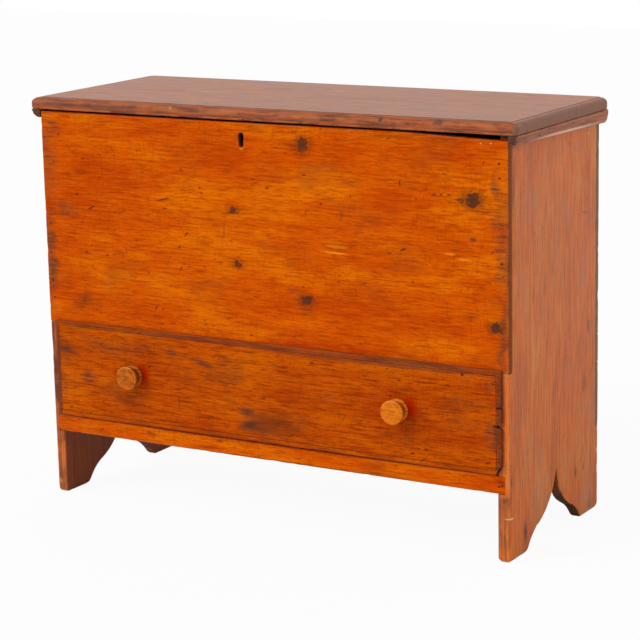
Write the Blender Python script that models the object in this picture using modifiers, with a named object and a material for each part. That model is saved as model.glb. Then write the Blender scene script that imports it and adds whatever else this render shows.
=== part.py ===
"""Mule chest of pine boards: a lidded well above one drawer, on bootjack end boards.

Run with: blender --background --python part.py
Units are metres, +Z is up, the front faces -Y, and the floor is at z = 0.
"""

import math

import bmesh
import bpy

# Overall sizes
CHEST_HEIGHT = 0.762
CASE_WIDTH = 0.963
CASE_DEPTH = 0.370

# Thickness of each kind of board
END_THICKNESS = 0.022
FRONT_THICKNESS = 0.015
BACK_THICKNESS = 0.011
LID_THICKNESS = 0.0215
FLOOR_THICKNESS = 0.018
RAIL_THICKNESS = 0.020

# Gap left between pieces that touch
SEAT = 0.0003

# Heights of the front, from the floor
RAIL_BOTTOM = 0.1225
RAIL_HEIGHT = 0.032
FRONT_BOARD_BOTTOM = 0.336
FRONT_BOARD_GAP = 0.0045
FLOOR_RISE = 0.003

# How the front pieces are let into the end boards
FRONT_PROUD = 0.001
RAIL_LET_IN = 0.0135
FLOOR_HOUSING = 0.007

# Back boards, from the floor
BACK_BOTTOM = 0.1575
BACK_LOWER_JOINT = 0.2765
BACK_UPPER_JOINT = 0.329
BACK_JOINT_GAP = 0.0008

# Bootjack cut-out of the end boards, measured from its apex
ARCH_HEIGHT = 0.122
ARCH_APEX_OFFSET = 0.006
ARCH_FRONT_REACH = 0.120
ARCH_BACK_REACH = 0.106
ARCH_KNEE_HEIGHT = 0.037
ARCH_FRONT_KNEE = 0.080
ARCH_BACK_KNEE = 0.063
ARCH_UPPER_BULGE = -0.13
ARCH_LOWER_BULGE = 0.08
ARCH_UPPER_STEPS = 10
ARCH_LOWER_STEPS = 5

# Lid and its moulding
LID_END_OVERHANG = 0.0182
LID_FRONT_OVERHANG = 0.0078
LID_MOULD_WIDTH = 0.0138
LID_MOULD_DROP = 0.009
LID_MOULD_STEP = 0.0008
LID_EDGE_EASE = 0.0012
MOULD_STEPS = 6

# Cleats under the lid's ends
CLEAT_CLEARANCE = 0.001
CLEAT_SETBACK = 0.003
CLEAT_FRONT_HEIGHT = 0.0145
CLEAT_BACK_HEIGHT = 0.023
CLEAT_FRONT_RADIUS = 0.005
CLEAT_BACK_RADIUS = 0.013
CLEAT_ARC_STEPS = 6

# Drawer box
DRAWER_SIDE_PLAY = 0.0015
DRAWER_HEADROOM = 0.0025
DRAWER_REAR_CLEARANCE = 0.019
DRAWER_BODY_THICKNESS = 0.014
DRAWER_SIDE_THICKNESS = 0.012
DRAWER_BACK_THICKNESS = 0.012
DRAWER_BOTTOM_THICKNESS = 0.008
DRAWER_BOTTOM_LIFT = 0.009
DRAWER_GROOVE = 0.005
DRAWER_BODY_LIFT = 0.0028

# Moulded lip of the drawer front
LIP_THICKNESS = 0.007
LIP_EDGE_THICKNESS = 0.003
LIP_MOULD_WIDTH = 0.0095
LIP_MOULD_STEP = 0.0006
LIP_SIDE_OVERLAP = 0.0085
LIP_TOP_OVERLAP = 0.0055
LIP_LIFT = 0.0017
LIP_SHIFT = 0.002

# Runners that carry the drawer
RUNNER_WIDTH = 0.022
RUNNER_HEIGHT = 0.020
RUNNER_BACK_SETBACK = 0.014

# Turned knobs
KNOB_SPREAD = 0.560
KNOB_CENTRE = -0.008
KNOB_RISE = 0.003
KNOB_REACH = 0.0275
KNOB_FACE_RADIUS = 0.0218
KNOB_BASE_RADIUS = 0.0206
KNOB_NECK_RADIUS = 0.0135
KNOB_BEAD_RADIUS = 0.0168
KNOB_TENON_RADIUS = 0.007
KNOB_STEPS = 32

# Keyhole
KEYHOLE_X = -0.041
KEYHOLE_DROP = 0.0185
KEYHOLE_HEIGHT = 0.025
KEYHOLE_TOP_RADIUS = 0.0048
KEYHOLE_BOTTOM_RADIUS = 0.0036
KEYHOLE_ARC_STEPS = 8

# Butt hinges
HINGE_X = 0.290
HINGE_LENGTH = 0.063
HINGE_KNUCKLE = 0.021
HINGE_KNUCKLE_GAP = 0.0004
HINGE_BARREL_RADIUS = 0.0035
HINGE_BORE_RADIUS = 0.0018
HINGE_PIN_RADIUS = 0.0015
HINGE_PIN_HEAD_RADIUS = 0.0022
HINGE_PIN_HEAD = 0.0012
HINGE_LEAF_THICKNESS = 0.0018
HINGE_CASE_LEAF_REACH = 0.030
HINGE_LID_LEAF_REACH = 0.034
HINGE_SCREW_X = 0.020
HINGE_SCREW_MARGIN = 0.009
HINGE_ARC_STEPS = 14
HINGE_BORE_STEPS = 16

# Wood screws of the hinges
SCREW_HEAD_RADIUS = 0.0034
SCREW_HEAD_HEIGHT = 0.0016
SCREW_SHANK_RADIUS = 0.0016
SCREW_LENGTH = 0.0095
SCREW_STEPS = 12

# Cut nails
NAIL_LENGTH = 0.036
NAIL_SHANK_WIDTH = 0.003
NAIL_SHANK_DEPTH = 0.002
NAIL_TIP = 0.0008
NAIL_HEAD_WIDTH = 0.0055
NAIL_HEAD_DEPTH = 0.0036
NAIL_HEAD_HEIGHT = 0.0012
NAIL_CLEARANCE = 0.0003
FRONT_NAIL_LOW_MARGIN = 0.048
FRONT_NAIL_MIDDLE_RISE = 0.188
FRONT_NAIL_TOP_MARGIN = 0.056
RAIL_NAIL_MARGIN = 0.007
BACK_NAIL_MARGIN = 0.045
CLEAT_NAIL_MARGIN = 0.070
CLEAT_NAIL_BITE = 0.010

# Chest lock
LOCK_WIDTH = 0.072
LOCK_HEIGHT = 0.052
LOCK_DEPTH = 0.0115
LOCK_LET_IN = 0.008
LOCK_WALL = 0.0015
LOCK_CHANNEL_HEIGHT = 0.0125
LOCK_CHAMBER_WIDTH = 0.024
BOLT_TAIL_LENGTH = 0.026
BOLT_NOSE_HEIGHT = 0.005
BOLT_NOSE_PLAY = 0.00045
BOLT_STAPLE_GAP = 0.0017
STAPLE_X = 0.020
STAPLE_THICKNESS = 0.004
STAPLE_PLAY = 0.0007
STAPLE_LEG = 0.0012
STAPLE_BAR = 0.002
STAPLE_PLATE_LENGTH = 0.044
STAPLE_PLATE_WIDTH = 0.014
STAPLE_PLATE_THICKNESS = 0.0018
STAPLE_SLOT_PLAY = 0.001

# How far a cutter runs past the face that it opens
CUT_PAST = 0.002

# Places worked out from the sizes above
HALF_WIDTH = CASE_WIDTH / 2
INNER_HALF = HALF_WIDTH - END_THICKNESS
LID_BOTTOM = CHEST_HEIGHT - LID_THICKNESS
FRONT_TOP = LID_BOTTOM - FRONT_BOARD_GAP
RAIL_TOP = RAIL_BOTTOM + RAIL_HEIGHT
FLOOR_BOTTOM = FRONT_BOARD_BOTTOM + FLOOR_RISE
FLOOR_TOP = FLOOR_BOTTOM + FLOOR_THICKNESS
BACK_TOP = LID_BOTTOM - SEAT

FRONT_REACH = max(LIP_THICKNESS + SEAT + KNOB_REACH, LID_FRONT_OVERHANG)
BACK_REACH = SEAT + 2 * HINGE_BARREL_RADIUS
CASE_FRONT = FRONT_REACH - (FRONT_REACH + CASE_DEPTH + BACK_REACH) / 2
CASE_BACK = CASE_FRONT + CASE_DEPTH
CASE_MIDDLE = (CASE_FRONT + CASE_BACK) / 2
FRONT_INNER = CASE_FRONT + FRONT_THICKNESS
BACK_INNER = CASE_BACK - BACK_THICKNESS
LEG_FRONT = CASE_FRONT + FRONT_PROUD

HINGE_AXIS_Y = CASE_BACK + SEAT + HINGE_BARREL_RADIUS
HINGE_AXIS_Z = LID_BOTTOM + HINGE_LEAF_THICKNESS / 2

LIP_BACK = CASE_FRONT - SEAT
LIP_FACE = LIP_BACK - LIP_THICKNESS
DRAWER_BASE = RAIL_TOP + SEAT
DRAWER_TOP = FRONT_BOARD_BOTTOM - DRAWER_HEADROOM
DRAWER_HALF = INNER_HALF - DRAWER_SIDE_PLAY
DRAWER_INNER_HALF = DRAWER_HALF - DRAWER_SIDE_THICKNESS
DRAWER_REAR = BACK_INNER - DRAWER_REAR_CLEARANCE
DRAWER_PANEL_BOTTOM = DRAWER_BASE + DRAWER_BOTTOM_LIFT
DRAWER_PANEL_TOP = DRAWER_PANEL_BOTTOM + DRAWER_BOTTOM_THICKNESS
LIP_LOW = DRAWER_BASE + LIP_LIFT
LIP_HIGH = FRONT_BOARD_BOTTOM + LIP_TOP_OVERLAP

LOCK_TOP = FRONT_TOP
LOCK_OUTER_Y = FRONT_INNER - LOCK_LET_IN
LOCK_BACK_Y = LOCK_OUTER_Y + LOCK_DEPTH
LOCK_CHANNEL_TOP = LOCK_TOP - LOCK_WALL
LOCK_CHANNEL_FLOOR = LOCK_CHANNEL_TOP - LOCK_CHANNEL_HEIGHT
LOCK_MIDDLE_Y = (LOCK_OUTER_Y + LOCK_BACK_Y) / 2
LOCK_INNER_DEPTH = LOCK_DEPTH - 2 * LOCK_WALL

SIDES = {"left": -1, "right": 1}

# Rotations that turn a local +Z to a world axis
FACE_FRONT = (math.pi / 2, 0, 0)
FACE_BACK = (-math.pi / 2, 0, 0)
FACE_DOWN = (math.pi, 0, 0)
FACE_UP = (0, 0, 0)
FACE_RIGHT = (math.pi / 2, 0, math.pi / 2)

for old in list(bpy.data.objects):
    bpy.data.objects.remove(old, do_unlink=True)


def new_collection(name):
    collection = bpy.data.collections.new(name)
    bpy.context.scene.collection.children.link(collection)
    return collection


PARTS = new_collection("mule_chest")
CUTTERS = new_collection("mule_chest_cutters")


def new_material(name, colour, roughness, metallic=0.0):
    material = bpy.data.materials.new(name)
    material.use_nodes = True
    shader = material.node_tree.nodes["Principled BSDF"]
    shader.inputs["Base Color"].default_value = (*colour, 1.0)
    shader.inputs["Roughness"].default_value = roughness
    shader.inputs["Metallic"].default_value = metallic
    return material


PINE_FRONT = new_material("pine_front", (0.52, 0.135, 0.012), 0.38)
PINE_DRAWER = new_material("pine_drawer", (0.42, 0.10, 0.012), 0.40)
PINE_SIDE = new_material("pine_side", (0.46, 0.17, 0.07), 0.45)
PINE_LID = new_material("pine_lid", (0.42, 0.19, 0.11), 0.42)
PINE_BARE = new_material("pine_bare", (0.50, 0.32, 0.16), 0.70)
KNOB_WOOD = new_material("knob_wood", (0.62, 0.22, 0.03), 0.32)
IRON = new_material("iron", (0.06, 0.05, 0.045), 0.55, 1.0)


def add_object(name, mesh, material, collection, place, turn):
    part = bpy.data.objects.new(name, mesh)
    collection.objects.link(part)
    part.location = place
    part.rotation_euler = turn
    if material:
        mesh.materials.append(material)
    if collection is CUTTERS:
        part.display_type = "WIRE"
        part.hide_render = True
    return part


def mesh_from(bm, name):
    bmesh.ops.recalc_face_normals(bm, faces=bm.faces[:])
    mesh = bpy.data.meshes.new(name)
    bm.to_mesh(mesh)
    bm.free()
    return mesh


def block(name, low, high, material=None, collection=PARTS):
    """Rectangular board between two corners, with its origin at its middle."""
    size = [b - a for a, b in zip(low, high)]
    middle = [(a + b) / 2 for a, b in zip(low, high)]
    bm = bmesh.new()
    bmesh.ops.create_cube(bm, size=1.0)
    bmesh.ops.scale(bm, vec=size, verts=bm.verts[:])
    return add_object(name, mesh_from(bm, name), material, collection, middle, FACE_UP)


def add_stack(bm, levels, shift=(0, 0)):
    """Extrudes a rectangle through levels of (height, x low, x high, y low, y high)."""
    corners = [(0, 0), (1, 0), (1, 1), (0, 1)]

    def place(verts, sides, level):
        height, x_low, x_high, y_low, y_high = level
        for vert in verts:
            x_side, y_side = sides[vert]
            x = x_high if x_side else x_low
            y = y_high if y_side else y_low
            vert.co = (x + shift[0], y + shift[1], height)

    verts = [bm.verts.new((x, y, 0)) for x, y in corners]
    sides = dict(zip(verts, corners))
    face = bm.faces.new(verts)
    place(verts, sides, levels[0])
    for level in levels[1:]:
        before = list(face.verts)
        result = bmesh.ops.extrude_face_region(bm, geom=[face])["geom"]
        if level is not levels[1]:
            bmesh.ops.delete(bm, geom=[face], context="FACES_ONLY")
        face = [item for item in result if isinstance(item, bmesh.types.BMFace)][0]
        after = list(face.verts)
        step = {}
        for vert in after:
            nearest = min(before, key=lambda other: (other.co - vert.co).length)
            step[vert] = sides[nearest]
        sides = step
        place(after, sides, level)


def stack(name, levels, place, turn, material=None, collection=PARTS, shifts=((0, 0),)):
    """Solid of stacked rectangles, repeated at each shift for a group of cutters."""
    bm = bmesh.new()
    for shift in shifts:
        add_stack(bm, levels, shift)
    return add_object(name, mesh_from(bm, name), material, collection, place, turn)


def slab(name, outlines, thickness, place, turn, material=None, collection=PARTS):
    """Flat outline, with any holes, given a thickness about its own plane."""
    curve = bpy.data.curves.new(name, "CURVE")
    curve.dimensions = "2D"
    curve.fill_mode = "BOTH"
    curve.extrude = thickness / 2
    for outline in outlines:
        spline = curve.splines.new("POLY")
        spline.points.add(len(outline) - 1)
        for point, (x, y) in zip(spline.points, outline):
            point.co = (x, y, 0, 1)
        spline.use_cyclic_u = True
    drawn = bpy.data.objects.new(name + "_outline", curve)
    collection.objects.link(drawn)
    bpy.context.view_layer.update()
    graph = bpy.context.evaluated_depsgraph_get()
    flat = bpy.data.meshes.new_from_object(drawn.evaluated_get(graph))
    bpy.data.objects.remove(drawn, do_unlink=True)
    bm = bmesh.new()
    bm.from_mesh(flat)
    bmesh.ops.remove_doubles(bm, verts=bm.verts[:], dist=1e-5)
    return add_object(name, mesh_from(bm, name), material, collection, place, turn)


def turned(name, profile, steps, place, turn, material=None, collection=PARTS):
    """Solid turned about its own Z from a profile of (radius, height), top to bottom."""
    mesh = bpy.data.meshes.new(name)
    points = [(radius, 0, height) for radius, height in profile]
    edges = [(i, i + 1) for i in range(len(points) - 1)]
    mesh.from_pydata(points, edges, [])
    part = add_object(name, mesh, material, collection, place, turn)
    screw = part.modifiers.new("turn", "SCREW")
    screw.axis = "Z"
    screw.angle = 2 * math.pi
    screw.steps = steps
    screw.render_steps = steps
    screw.use_merge_vertices = True
    screw.merge_threshold = 1e-5
    return part


def cut(part, *cutters):
    for cutter in cutters:
        boolean = part.modifiers.new(cutter.name, "BOOLEAN")
        boolean.operation = "DIFFERENCE"
        boolean.solver = "EXACT"
        boolean.object = cutter


def arc(start, end, bulge, steps):
    """Points of a circular arc after start, up to and with end.

    bulge is the arc's rise over its chord, positive to the left of the way along it.
    """
    length = math.dist(start, end)
    along = ((end[0] - start[0]) / length, (end[1] - start[1]) / length)
    aside = (-along[1], along[0])
    half = 2 * math.atan(2 * bulge)
    radius = length / (2 * math.sin(half))
    points = []
    for i in range(1, steps + 1):
        angle = half * (2 * i / steps - 1)
        run = length / 2 + radius * math.sin(angle)
        rise = radius * (math.cos(angle) - math.cos(half))
        x = start[0] + along[0] * run + aside[0] * rise
        y = start[1] + along[1] * run + aside[1] * rise
        points.append((x, y))
    return points


def around(centre, radius, first, last, steps):
    """Points round a centre from one angle to another, in degrees, both ends included."""
    points = []
    for i in range(steps + 1):
        angle = math.radians(first + (last - first) * i / steps)
        points.append((centre[0] + radius * math.cos(angle), centre[1] + radius * math.sin(angle)))
    return points


def nail_levels(length, clearance=0.0, past=0.0):
    """Levels of a cut nail whose head's top is at height 0; a hole adds clearance."""
    shank_x = NAIL_SHANK_WIDTH / 2 + clearance
    shank_y = NAIL_SHANK_DEPTH / 2 + clearance
    head_x = NAIL_HEAD_WIDTH / 2 + clearance
    head_y = NAIL_HEAD_DEPTH / 2 + clearance
    tip = NAIL_TIP / 2 + clearance
    under_head = -NAIL_HEAD_HEIGHT - clearance
    return [
        (-length - clearance, -tip, tip, -tip, tip),
        (under_head, -shank_x, shank_x, -shank_y, shank_y),
        (under_head, -head_x, head_x, -head_y, head_y),
        (past, -head_x, head_x, -head_y, head_y),
    ]


def nails(names, places, turn, length=NAIL_LENGTH):
    """One nail at each place, and a cutter for each hole."""
    holes = []
    for name, place in zip(names, places):
        stack(name, nail_levels(length), place, turn, IRON)
        hole = nail_levels(length, NAIL_CLEARANCE, CUT_PAST)
        holes.append(stack(name + "_hole", hole, place, turn, collection=CUTTERS))
    return holes


def screw_profile(clearance=0.0, past=0.0):
    """Countersunk wood screw whose head's top is at height 0; a hole adds clearance."""
    head = SCREW_HEAD_RADIUS + clearance
    shank = SCREW_SHANK_RADIUS + clearance
    low = -SCREW_LENGTH - clearance
    under_head = -SCREW_HEAD_HEIGHT - clearance
    profile = [(0, past), (head, past)]
    if past:
        profile.append((head, 0))
    return profile + [(shank, under_head), (shank, low + shank), (0, low)]


def bootjack(apex_y):
    """Outline of the cut-out from the front foot over the apex to the back foot."""
    apex = (apex_y, ARCH_HEIGHT)
    front_knee = (apex_y - ARCH_FRONT_KNEE, ARCH_KNEE_HEIGHT)
    back_knee = (apex_y + ARCH_BACK_KNEE, ARCH_KNEE_HEIGHT)
    front_foot = (apex_y - ARCH_FRONT_REACH, 0)
    back_foot = (apex_y + ARCH_BACK_REACH, 0)
    points = [front_foot]
    points += arc(front_foot, front_knee, ARCH_LOWER_BULGE, ARCH_LOWER_STEPS)
    points += arc(front_knee, apex, ARCH_UPPER_BULGE, ARCH_UPPER_STEPS)
    points += arc(apex, back_knee, ARCH_UPPER_BULGE, ARCH_UPPER_STEPS)
    points += arc(back_knee, back_foot, ARCH_LOWER_BULGE, ARCH_LOWER_STEPS)
    return points


def end_board_outline():
    """End board seen from the right: notched for the front board and the back boards."""
    notch_front = FRONT_INNER + SEAT
    notch_back = BACK_INNER - SEAT
    points = [
        (CASE_BACK, 0),
        (CASE_BACK, BACK_BOTTOM - SEAT),
        (notch_back, BACK_BOTTOM - SEAT),
        (notch_back, LID_BOTTOM - SEAT),
        (notch_front, LID_BOTTOM - SEAT),
        (notch_front, FRONT_BOARD_BOTTOM - SEAT),
        (LEG_FRONT, FRONT_BOARD_BOTTOM - SEAT),
        (LEG_FRONT, 0),
    ]
    return points + bootjack(CASE_MIDDLE + ARCH_APEX_OFFSET)


def mould(width, drop, step):
    """Thumbnail moulding as (inset, depth below the face), from its edge up to its face."""
    points = []
    for i in range(MOULD_STEPS + 1):
        angle = math.pi / 2 * i / MOULD_STEPS
        inset = width * (1 - math.cos(angle))
        depth = step + (drop - step) * (1 - math.sin(angle))
        points.append((inset, depth))
    return points + [(width, 0)]


def make_end_boards():
    rail_pocket = block(
        "rail_pocket",
        (-INNER_HALF - RAIL_LET_IN - SEAT, LEG_FRONT - CUT_PAST, RAIL_BOTTOM - SEAT),
        (INNER_HALF + RAIL_LET_IN + SEAT, LEG_FRONT + RAIL_THICKNESS + SEAT, RAIL_TOP + SEAT),
        collection=CUTTERS,
    )
    floor_housing = block(
        "floor_housing",
        (-INNER_HALF - FLOOR_HOUSING - SEAT, FRONT_INNER - CUT_PAST, FLOOR_BOTTOM - SEAT),
        (INNER_HALF + FLOOR_HOUSING + SEAT, BACK_INNER + CUT_PAST, FLOOR_TOP + SEAT),
        collection=CUTTERS,
    )
    boards = {}
    for side, sign in SIDES.items():
        middle_x = sign * (HALF_WIDTH - END_THICKNESS / 2)
        board = slab(
            f"end_board_{side}",
            [end_board_outline()],
            END_THICKNESS,
            (middle_x, 0, 0),
            FACE_RIGHT,
            PINE_SIDE,
        )
        cut(board, rail_pocket, floor_housing)
        boards[side] = board
    return boards


def make_front_board():
    return block(
        "front_board",
        (-HALF_WIDTH, CASE_FRONT, FRONT_BOARD_BOTTOM),
        (HALF_WIDTH, FRONT_INNER, FRONT_TOP),
        PINE_FRONT,
    )


def make_rail():
    half = INNER_HALF + RAIL_LET_IN
    return block(
        "bottom_rail",
        (-half, LEG_FRONT, RAIL_BOTTOM),
        (half, LEG_FRONT + RAIL_THICKNESS, RAIL_TOP),
        PINE_FRONT,
    )


def make_floor():
    half = INNER_HALF + FLOOR_HOUSING
    block(
        "well_floor",
        (-half, FRONT_INNER + SEAT, FLOOR_BOTTOM),
        (half, BACK_INNER - SEAT, FLOOR_TOP),
        PINE_BARE,
    )


def make_back_boards():
    """Three boards across the back, with a shrinkage gap at each joint."""
    half_gap = BACK_JOINT_GAP / 2
    spans = {
        "lower": (BACK_BOTTOM, BACK_LOWER_JOINT - half_gap),
        "middle": (BACK_LOWER_JOINT + half_gap, BACK_UPPER_JOINT - half_gap),
        "upper": (BACK_UPPER_JOINT + half_gap, BACK_TOP),
    }
    boards = {}
    for name, (low, high) in spans.items():
        boards[name] = block(
            f"back_board_{name}",
            (-HALF_WIDTH, BACK_INNER, low),
            (HALF_WIDTH, CASE_BACK, high),
            PINE_BARE,
        )
    return boards, spans


def make_runners():
    for side, sign in SIDES.items():
        edges = sorted((sign * (INNER_HALF - SEAT), sign * (INNER_HALF - RUNNER_WIDTH)))
        block(
            f"drawer_runner_{side}",
            (edges[0], LEG_FRONT + RAIL_THICKNESS + SEAT, RAIL_TOP - RUNNER_HEIGHT),
            (edges[1], CASE_BACK - RUNNER_BACK_SETBACK, RAIL_TOP),
            PINE_BARE,
        )


def make_lid():
    """Lid board, moulded along the front and both ends and square at the back."""
    half = HALF_WIDTH + LID_END_OVERHANG
    front = CASE_FRONT - LID_FRONT_OVERHANG
    ease = LID_EDGE_EASE
    levels = [
        (LID_BOTTOM, -half + ease, half - ease, front + ease, CASE_BACK),
        (LID_BOTTOM + ease, -half, half, front, CASE_BACK),
    ]
    for inset, depth in mould(LID_MOULD_WIDTH, LID_MOULD_DROP, LID_MOULD_STEP):
        top = CHEST_HEIGHT - depth
        levels.append((top, -half + inset, half - inset, front + inset, CASE_BACK))
    return stack("lid_board", levels, (0, 0, 0), FACE_UP, PINE_LID)


def cleat_height(y):
    """Height of the tapered cleats at a place along their length."""
    front = CASE_FRONT - LID_FRONT_OVERHANG + CLEAT_SETBACK
    share = (y - front) / (CASE_BACK - front)
    return CLEAT_FRONT_HEIGHT + (CLEAT_BACK_HEIGHT - CLEAT_FRONT_HEIGHT) * share


def make_cleats():
    top = LID_BOTTOM - SEAT
    front = CASE_FRONT - LID_FRONT_OVERHANG + CLEAT_SETBACK
    front_low = top - cleat_height(front + CLEAT_FRONT_RADIUS)
    back_low = top - cleat_height(CASE_BACK - CLEAT_BACK_RADIUS)
    outline = [(CASE_BACK, top), (front, top)]
    outline += around(
        (front + CLEAT_FRONT_RADIUS, front_low + CLEAT_FRONT_RADIUS),
        CLEAT_FRONT_RADIUS,
        180,
        270,
        CLEAT_ARC_STEPS,
    )
    outline += around(
        (CASE_BACK - CLEAT_BACK_RADIUS, back_low + CLEAT_BACK_RADIUS),
        CLEAT_BACK_RADIUS,
        270,
        360,
        CLEAT_ARC_STEPS,
    )
    thickness = LID_END_OVERHANG - CLEAT_CLEARANCE
    cleats = {}
    for side, sign in SIDES.items():
        middle_x = sign * (HALF_WIDTH + CLEAT_CLEARANCE + thickness / 2)
        cleats[side] = slab(
            f"lid_cleat_{side}", [outline], thickness, (middle_x, 0, 0), FACE_RIGHT, PINE_LID
        )
    return cleats


def make_drawer():
    """Drawer box with a lipped front, its bottom held in grooves."""
    body_half = DRAWER_INNER_HALF
    body_low = DRAWER_BASE + DRAWER_BODY_LIFT
    lip_left = -INNER_HALF - LIP_SIDE_OVERLAP + LIP_SHIFT
    lip_right = INNER_HALF + LIP_SIDE_OVERLAP + LIP_SHIFT
    levels = [
        (-DRAWER_BODY_THICKNESS, -body_half, body_half, body_low, DRAWER_TOP),
        (0, -body_half, body_half, body_low, DRAWER_TOP),
        (0, lip_left, lip_right, LIP_LOW, LIP_HIGH),
    ]
    lip_drop = LIP_THICKNESS - LIP_EDGE_THICKNESS
    for inset, depth in mould(LIP_MOULD_WIDTH, lip_drop, LIP_MOULD_STEP):
        left = lip_left + inset
        right = lip_right - inset
        levels.append((LIP_THICKNESS - depth, left, right, LIP_LOW + inset, LIP_HIGH - inset))
    front = stack("drawer_front", levels, (0, LIP_BACK, 0), FACE_FRONT, PINE_DRAWER)

    panel_half = DRAWER_INNER_HALF + DRAWER_GROOVE
    panel_front = LIP_BACK + DRAWER_BODY_THICKNESS - DRAWER_GROOVE
    groove_low = DRAWER_PANEL_BOTTOM - SEAT
    groove_high = DRAWER_PANEL_TOP + SEAT
    front_groove = block(
        "drawer_front_groove",
        (-HALF_WIDTH, panel_front - SEAT, groove_low),
        (HALF_WIDTH, panel_front + DRAWER_GROOVE + CUT_PAST, groove_high),
        collection=CUTTERS,
    )
    cut(front, front_groove)

    pieces = [front]
    side_front = LIP_BACK + SEAT
    for side, sign in SIDES.items():
        inner = sign * (DRAWER_INNER_HALF + SEAT)
        outer = sign * DRAWER_HALF
        groove = sign * (panel_half + SEAT)
        outline = [
            (outer, DRAWER_BASE),
            (inner, DRAWER_BASE),
            (inner, groove_low),
            (groove, groove_low),
            (groove, groove_high),
            (inner, groove_high),
            (inner, DRAWER_TOP),
            (outer, DRAWER_TOP),
        ]
        middle_y = (side_front + DRAWER_REAR) / 2
        pieces.append(
            slab(
                f"drawer_side_{side}",
                [outline],
                DRAWER_REAR - side_front,
                (0, middle_y, 0),
                FACE_FRONT,
                PINE_BARE,
            )
        )
    pieces.append(
        block(
            "drawer_back",
            (-DRAWER_INNER_HALF, DRAWER_REAR - DRAWER_BACK_THICKNESS, DRAWER_PANEL_TOP + SEAT),
            (DRAWER_INNER_HALF, DRAWER_REAR, DRAWER_TOP),
            PINE_BARE,
        )
    )
    pieces.append(
        block(
            "drawer_bottom",
            (-panel_half, panel_front, DRAWER_PANEL_BOTTOM),
            (panel_half, DRAWER_REAR, DRAWER_PANEL_TOP),
            PINE_BARE,
        )
    )
    return front, pieces


def knob_profile():
    """Turned knob from its face down to the tenon's end; height 0 is the drawer's face."""
    face = KNOB_REACH
    rim = KNOB_FACE_RADIUS
    base = KNOB_BASE_RADIUS
    neck = KNOB_NECK_RADIUS
    bead = KNOB_BEAD_RADIUS
    tenon = KNOB_TENON_RADIUS
    tenon_end = -(LIP_THICKNESS + DRAWER_BODY_THICKNESS)
    shares = [
        (0.0, 1.0),
        (0.55, 0.985),
        (0.84, 0.955),
        (0.965, 0.90),
        (1.0, 0.83),
        (0.985, 0.75),
        (0.93, 0.68),
    ]
    profile = [(rim * radius, face * height) for radius, height in shares]
    profile += [(neck, face * 0.56), (neck, face * 0.50)]
    profile += [(bead * 0.95, face * 0.45), (bead, face * 0.40), (bead * 0.94, face * 0.35)]
    profile += [(neck, face * 0.30), (neck, face * 0.25)]
    profile += [(base * 0.90, face * 0.21), (base, face * 0.14), (base, face * 0.05)]
    profile += [(base * 0.97, SEAT), (tenon, SEAT), (tenon, tenon_end), (0, tenon_end)]
    return profile


def make_knobs(drawer_front):
    height = (LIP_LOW + LIP_HIGH) / 2 + KNOB_RISE
    hole_radius = KNOB_TENON_RADIUS + SEAT
    hole_end = -(LIP_THICKNESS + DRAWER_BODY_THICKNESS) - CUT_PAST
    hole = [(0, CUT_PAST), (hole_radius, CUT_PAST), (hole_radius, hole_end), (0, hole_end)]
    knobs = []
    for side, sign in SIDES.items():
        place = (KNOB_CENTRE + sign * KNOB_SPREAD / 2, LIP_FACE, height)
        knobs.append(
            turned(f"knob_{side}", knob_profile(), KNOB_STEPS, place, FACE_FRONT, KNOB_WOOD)
        )
        cutter = turned(f"knob_{side}_hole", hole, KNOB_STEPS, place, FACE_FRONT, None, CUTTERS)
        cut(drawer_front, cutter)
    return knobs


def keyhole_outline():
    """Keyhole seen from the front: round above, narrower and round below."""
    top = FRONT_TOP - KEYHOLE_DROP - KEYHOLE_TOP_RADIUS
    bottom = FRONT_TOP - KEYHOLE_DROP - KEYHOLE_HEIGHT + KEYHOLE_BOTTOM_RADIUS
    upper = around((KEYHOLE_X, top), KEYHOLE_TOP_RADIUS, 0, 180, KEYHOLE_ARC_STEPS)
    lower = around((KEYHOLE_X, bottom), KEYHOLE_BOTTOM_RADIUS, 180, 360, KEYHOLE_ARC_STEPS)
    return upper + lower


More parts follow.
